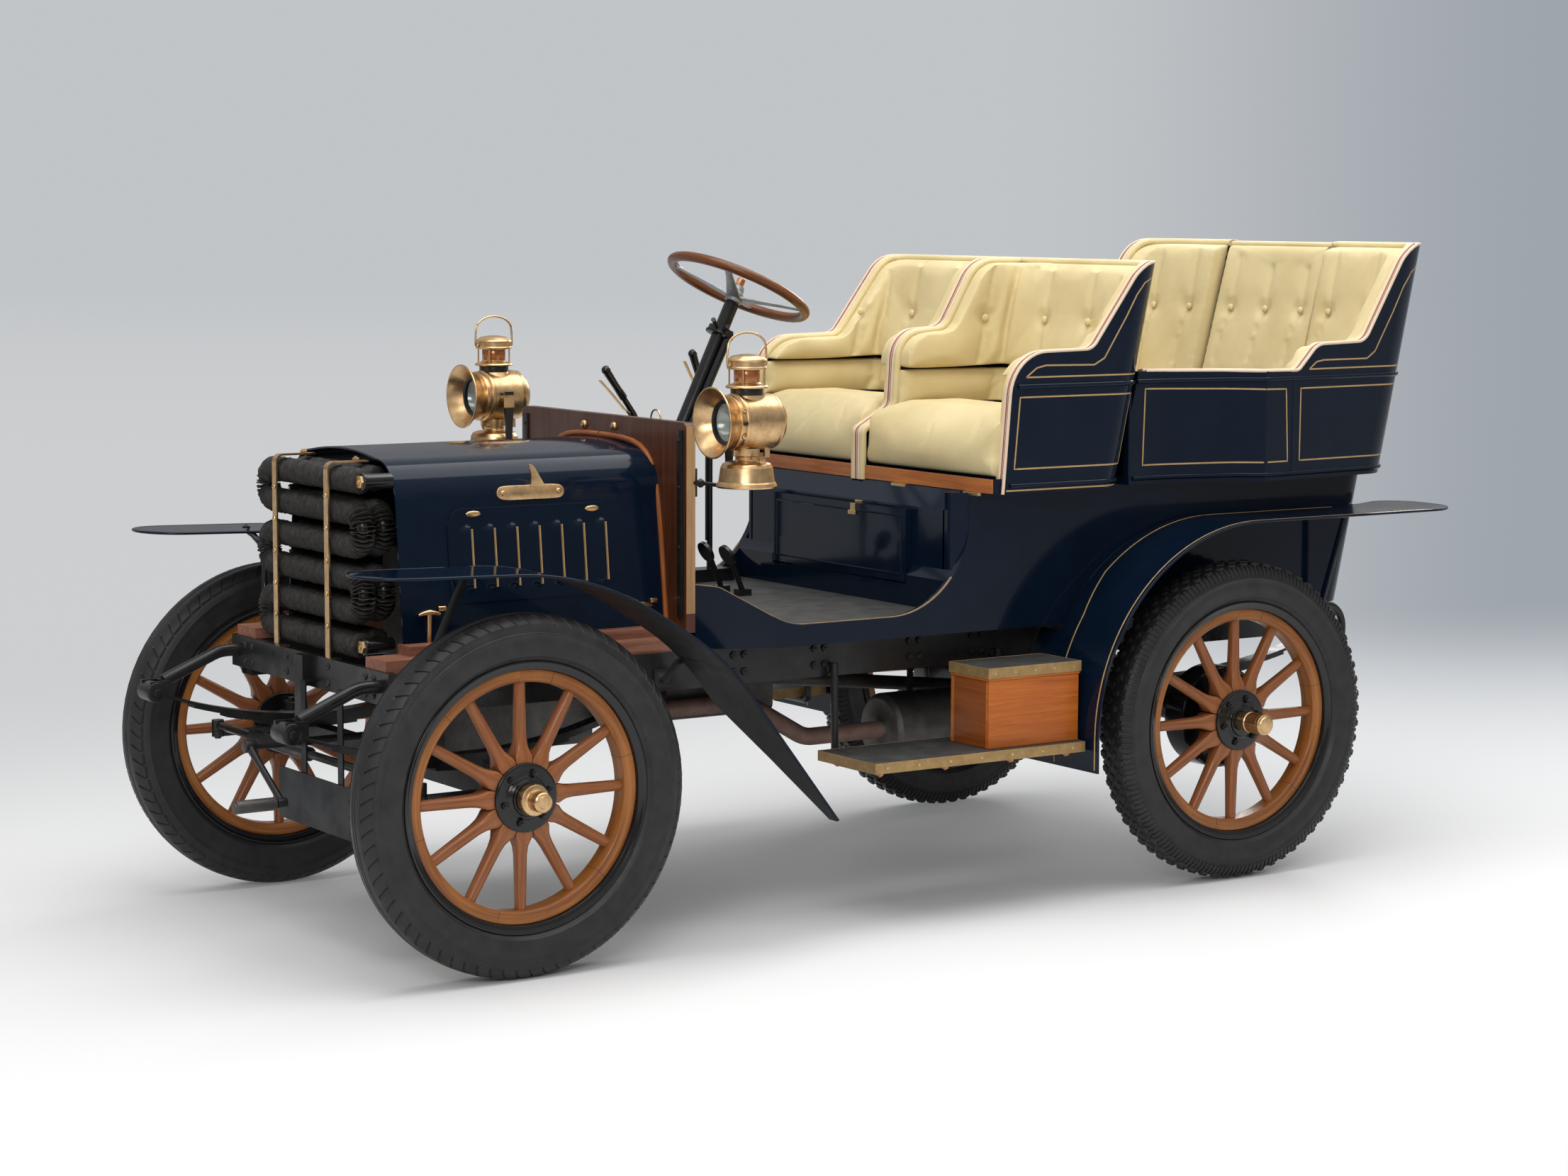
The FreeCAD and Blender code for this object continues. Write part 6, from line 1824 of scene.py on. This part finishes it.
def buildEnds():
    irons, grip = newBag(), newBag()
    axis, side, height = crank["axis"], crank["gripSide"], crank["gripHeight"]
    # crank: shaft and arm black, grip bright
    lay(irons, tube([(90, 0, axis), (-348, 0, axis)], 9.6, 16, up=(0, 1, 0)))
    lay(irons, turned([(0, -14), (15, -14, 3), (15, 14, 3), (0, 14)], 3, 20), 0, lambda x, y,
        z: (-360 + y, x, axis + z))
    lay(irons, tube([(-360, -8, 455), (-360, -60, 423), (-360, -166, 358.5)], 9, 12, up=(1, 0, 0),
                    scales=[1.15, 0.9, 0.95]))
    lay(irons, turned([(0, -374), (8, -374), (12, -372, 1), (12, -350, 2), (0, -350)], 3, 20), 0, lambda x, y,
        z: (y, side + x, height + z))
    lay(grip, turned([(0, -478), (10, -478, 1), (10.5, -474.5, 1), (15, -474, 2), (15, -378, 2), (12, -375),
                      (0, -375)], 3, 32), 0, lambda x, y, z: (y, side + x, height + z))
    eye = turned([(0, -38), (9, -38, 1), (9, -33), (24.5, -32.5, 3), (24.5, 32.5, 3), (9, 33), (9, 38, 1), (0, 38)], 3,
                 32)
    for side in (-1, 1):
        lay(irons, eye, 0, lambda x, y, z: (-440 + x, side * 370 + y, crank["springEye"] + z))
    makePiece("crank_arm", irons, ["iron"], "car", replaced=("starting_handle",))
    makePiece("crank_grip", grip, ["steel"], "car")
    spots = [((x, side * railBolts["side"], z), (0, side, 0)) for side in (-1, 1) for x in railBolts["stations"]
             for z in railBolts["heights"]]
    spotPiece("rail_bolts", hexNut(17, 6, 4), spots, "iron", "car")
    spots = [((-213, y, z), (-1, 0, 0)) for y in (-340, -300, 300, 340, -110, 110) for z in (608, 646)]
    spotPiece("front_plate_bolts", domeHead(8, 5, 14), spots, "iron", "car")


buildFittings()
buildEnds()
print("small fittings ready")

# painted sheets and edges of the fenders, the silencer, the riser under the front seat
def dressedCopy(name, node, materials, pick):
    # a merged copy of a CAD node whose faces take their finish by a rule
    work = bmesh.new()
    work.from_mesh(nodes[node].data)
    bmesh.ops.remove_doubles(work, verts=work.verts, dist=weld)
    work.normal_update()
    for face in work.faces:
        face.material_index = pick(local @ face.calc_center_median(), face.normal)
    mesh = bpy.data.meshes.new(name)
    work.to_mesh(mesh)
    work.free()
    for material in materials:
        mesh.materials.append(finishes[material])
    mesh.shade_smooth()
    mesh.set_sharp_from_angle(angle=math.radians(30))
    return register(show(name, mesh), "car", (node,))


def sheetMiddle(node, x, y):
    # height of the middle of a level or sloping sheet
    heights = []
    for start, way in ((1100, -1), (100, 1)):
        place = surface(node).ray_cast(carMatrix @ Vector((x, y, start)), Vector((0, 0, way)))[0]
        if place is None:
            return None
        heights.append((local @ place).z)
    return sum(heights) / 2


rollRadius = 3.4


def rolledEdge(bag, node, plan, side, toward):
    points = []
    for spot in spread([(x, y, 0) for x, y in plan], 14, True):
        inward = (Vector((*toward, 0)) - spot).normalized() * 2.6
        height = sheetMiddle(node, spot.x + inward.x, side * (spot.y + inward.y))
        if height is not None:
            points.append(Vector((spot.x + inward.x * 0.6, side * (spot.y + inward.y * 0.6), height)))
    lay(bag, tube(points, rollRadius, 8, closed=True, up=(0, 1, 0.1)))


arch = {"station": 2063, "height": 405, "outer": 703, "low": 330}


def archLine(bag, node, side, ySpots, finish, section, slot, lift=0.2):
    # a line that follows the rear fender up its front and along its top
    top = surface(node).ray_cast(carMatrix @ Vector((arch["station"], side * 600, 1100)), Vector((0, 0, -1)))[0]
    radius = (local @ top).z - arch["height"] + lift
    points, normals = [Vector((arch["station"] - radius, side * ySpots[0], arch["low"]))], [Vector((-1, 0, 0))]
    for k in range(25):
        angle = math.pi / 2 * k / 24
        share = max(0.0, min(1.0, (k - 9) / 4))
        across = ySpots[0] + (ySpots[1] - ySpots[0]) * share
        way = Vector((-math.cos(angle), 0, math.sin(angle)))
        points.append(Vector((arch["station"], side * across, arch["height"])) + way * radius)
        normals.append(way)
    points.append(Vector((finish, side * ySpots[1], arch["height"] + radius)))
    normals.append(upwards)
    lay(bag, sweep(points, section, normals), slot)


def underside(place, normal):
    # 1 for the inner faces and the stays of a fender, 0 for its painted outside
    inner = normal.z < -0.1 or (normal.x > 0.9 and place.x > 1300)
    stay = (place.x < 900 and abs(place.y) < 466) or (-140 < place.x < -30 and place.z < 890)
    return int(inner or stay)


def silencer(place, normal):
    return int(1306 < place.x < 1734)


def buildFenders():
    edges, lines = newBag(), newBag()
    for side, hand in ((-1, "left"), (1, "right")):
        dressedCopy("front_fender_sheet_" + hand, "front_fender_" + hand, ["navy", "fenderInside"], underside)
        dressedCopy("rear_fender_sheet_" + hand, "rear_fender_" + hand, ["navy", "fenderInside"], underside)
        plan = softened([(-100, 680), (-385, 680, 95), (-385, 490, 95), (100, 470), (600, 470), (700, 560, 40),
                         (811, 649), (811, 680), (-100, 680)], 6)[:-1]
        rolledEdge(edges, "front_fender_" + hand, plan, side, (200, 580))
        archLine(edges, "rear_fender_" + hand, side, (713, 713), 2655, ringSection(rollRadius, 8), 0, -2.2)
        archLine(lines, "rear_fender_" + hand, side, (703, 703), 2650, lineSection, 0)
        archLine(lines, "rear_fender_" + hand, side, (545, 520), 2480, lineSection, 0)
    # the right fender alone has a bowed iron in front
    bow = newBag()
    path = [(-112, 421, 690), (-122, 422, 735), (-117, 432, 784), (-103, 456, 838), (-106, 481, 874), (-118, 494, 893),
            (-132, 500, 905)]
    lay(bow, tube(path, 8, 12, up=(0, 1, 0)))
    lay(bow, hexNut(18, 6, 4), 0, lambda a, b, c: (-132 + a, 500 + b, 909 + c))
    makePiece("fender_bows", bow, ["enamel"], "car", angle=60)
    makePiece("fender_edges", edges, ["navy"], "car", angle=60)
    makePiece("fender_lines", lines, ["goldLine"], "car", angle=60)
    dressedCopy("exhaust_and_silencer", "exhaust", ["rust", "steel"], silencer)


def prismAcross(bag, outline, low, high):
    # an outline of (station, height) carried across the car
    add(bag, [(x, y, z) for y in (low, high) for x, z in outline], girdle(2, len(outline)))


riser = {"face": 1291, "back": 1309, "half": 443, "doorHalf": 286, "low": 713, "sill": 781, "lintel": 939, "top": 1002}


def buildRiser():
    bag, strip = newBag(), newBag()
    face, back, half, doorHalf, low, sill, lintel, top = riser.values()
    prismAcross(bag, [(face, low), (face, sill), (back, sill), (back, low)], -half, half)
    prismAcross(bag, [(face, lintel), (face, 958), (1333, 1003.4), (1349, 1003.4), (back, 950), (back, lintel)], -half,
                half)
    for side in (-1, 1):
        prismAcross(bag, [(face, sill), (face, lintel), (back, lintel), (back, sill)],
                    *sorted((side * doorHalf, side * half)))
    bend = softened([(face, 425), (face, 444, 30), (1322, 475, 14), (1332, 479), (1332, 470), (1309, 455),
                     (1300, 425)], 8)
    for side in (-1, 1):
        add(bag, [(x, side * y, z) for z in (low, top) for x, y in bend], girdle(2, len(bend)))
    makePiece("seat_riser", bag, ["navy"], "car")
    edge = softened([(604, 812), (650, 806, 40), (800, 712, 180), (1331, 712, 230), (1331, 800)], 14)
    for side in (-1, 1):
        run = spread([(x, 0, z) for x, z in edge if x < 1290], 16)
        points = [(spot.x, side * (386 + 90 * min(1, (spot.x - 600) / 165)), spot.z) for spot in run]
        normals = [Vector((-way.z, 0, way.x)) for way in ways(run)]
        lay(strip, sweep(points, [(-3.6, -0.5), (3.6, -0.5), (3.6, 1.6), (-3.6, 1.6)], normals))
    makePiece("doorway_edge_strips", strip, ["edgeTan"], "car", angle=60)


buildFenders()
buildRiser()
print("fenders and riser ready")

# finishes for the CAD nodes that are shown as they are
plainNodes = {
    "iron": ["leaf_springs", "chassis_frame", "front_axle", "rear_axle", "tie_rod", "steering_knuckle_left",
             "steering_knuckle_right"],
    "steel": ["engine_block", "transmission"],
    "navy": ["bonnet", "body_shell", "front_seat_shell", "tonneau_shell", "locker_door", "tonneau_door"],
    "brass": ["radiator_straps"],
    "sillWood": ["bonnet_sills"],
    "mahogany": ["dashboard"],
    "lino": ["floor_boards"],
    "plate": ["number_plate"],
    "enamel": ["steering_column", "driver_controls"],
}
for finish, names in plainNodes.items():
    for name in names:
        item = nodes[name]
        for place in range(len(item.data.materials)):
            item.data.materials[place] = finishes[finish]
        if not item.data.materials:
            item.data.materials.append(finishes[finish])
print("CAD nodes dressed")
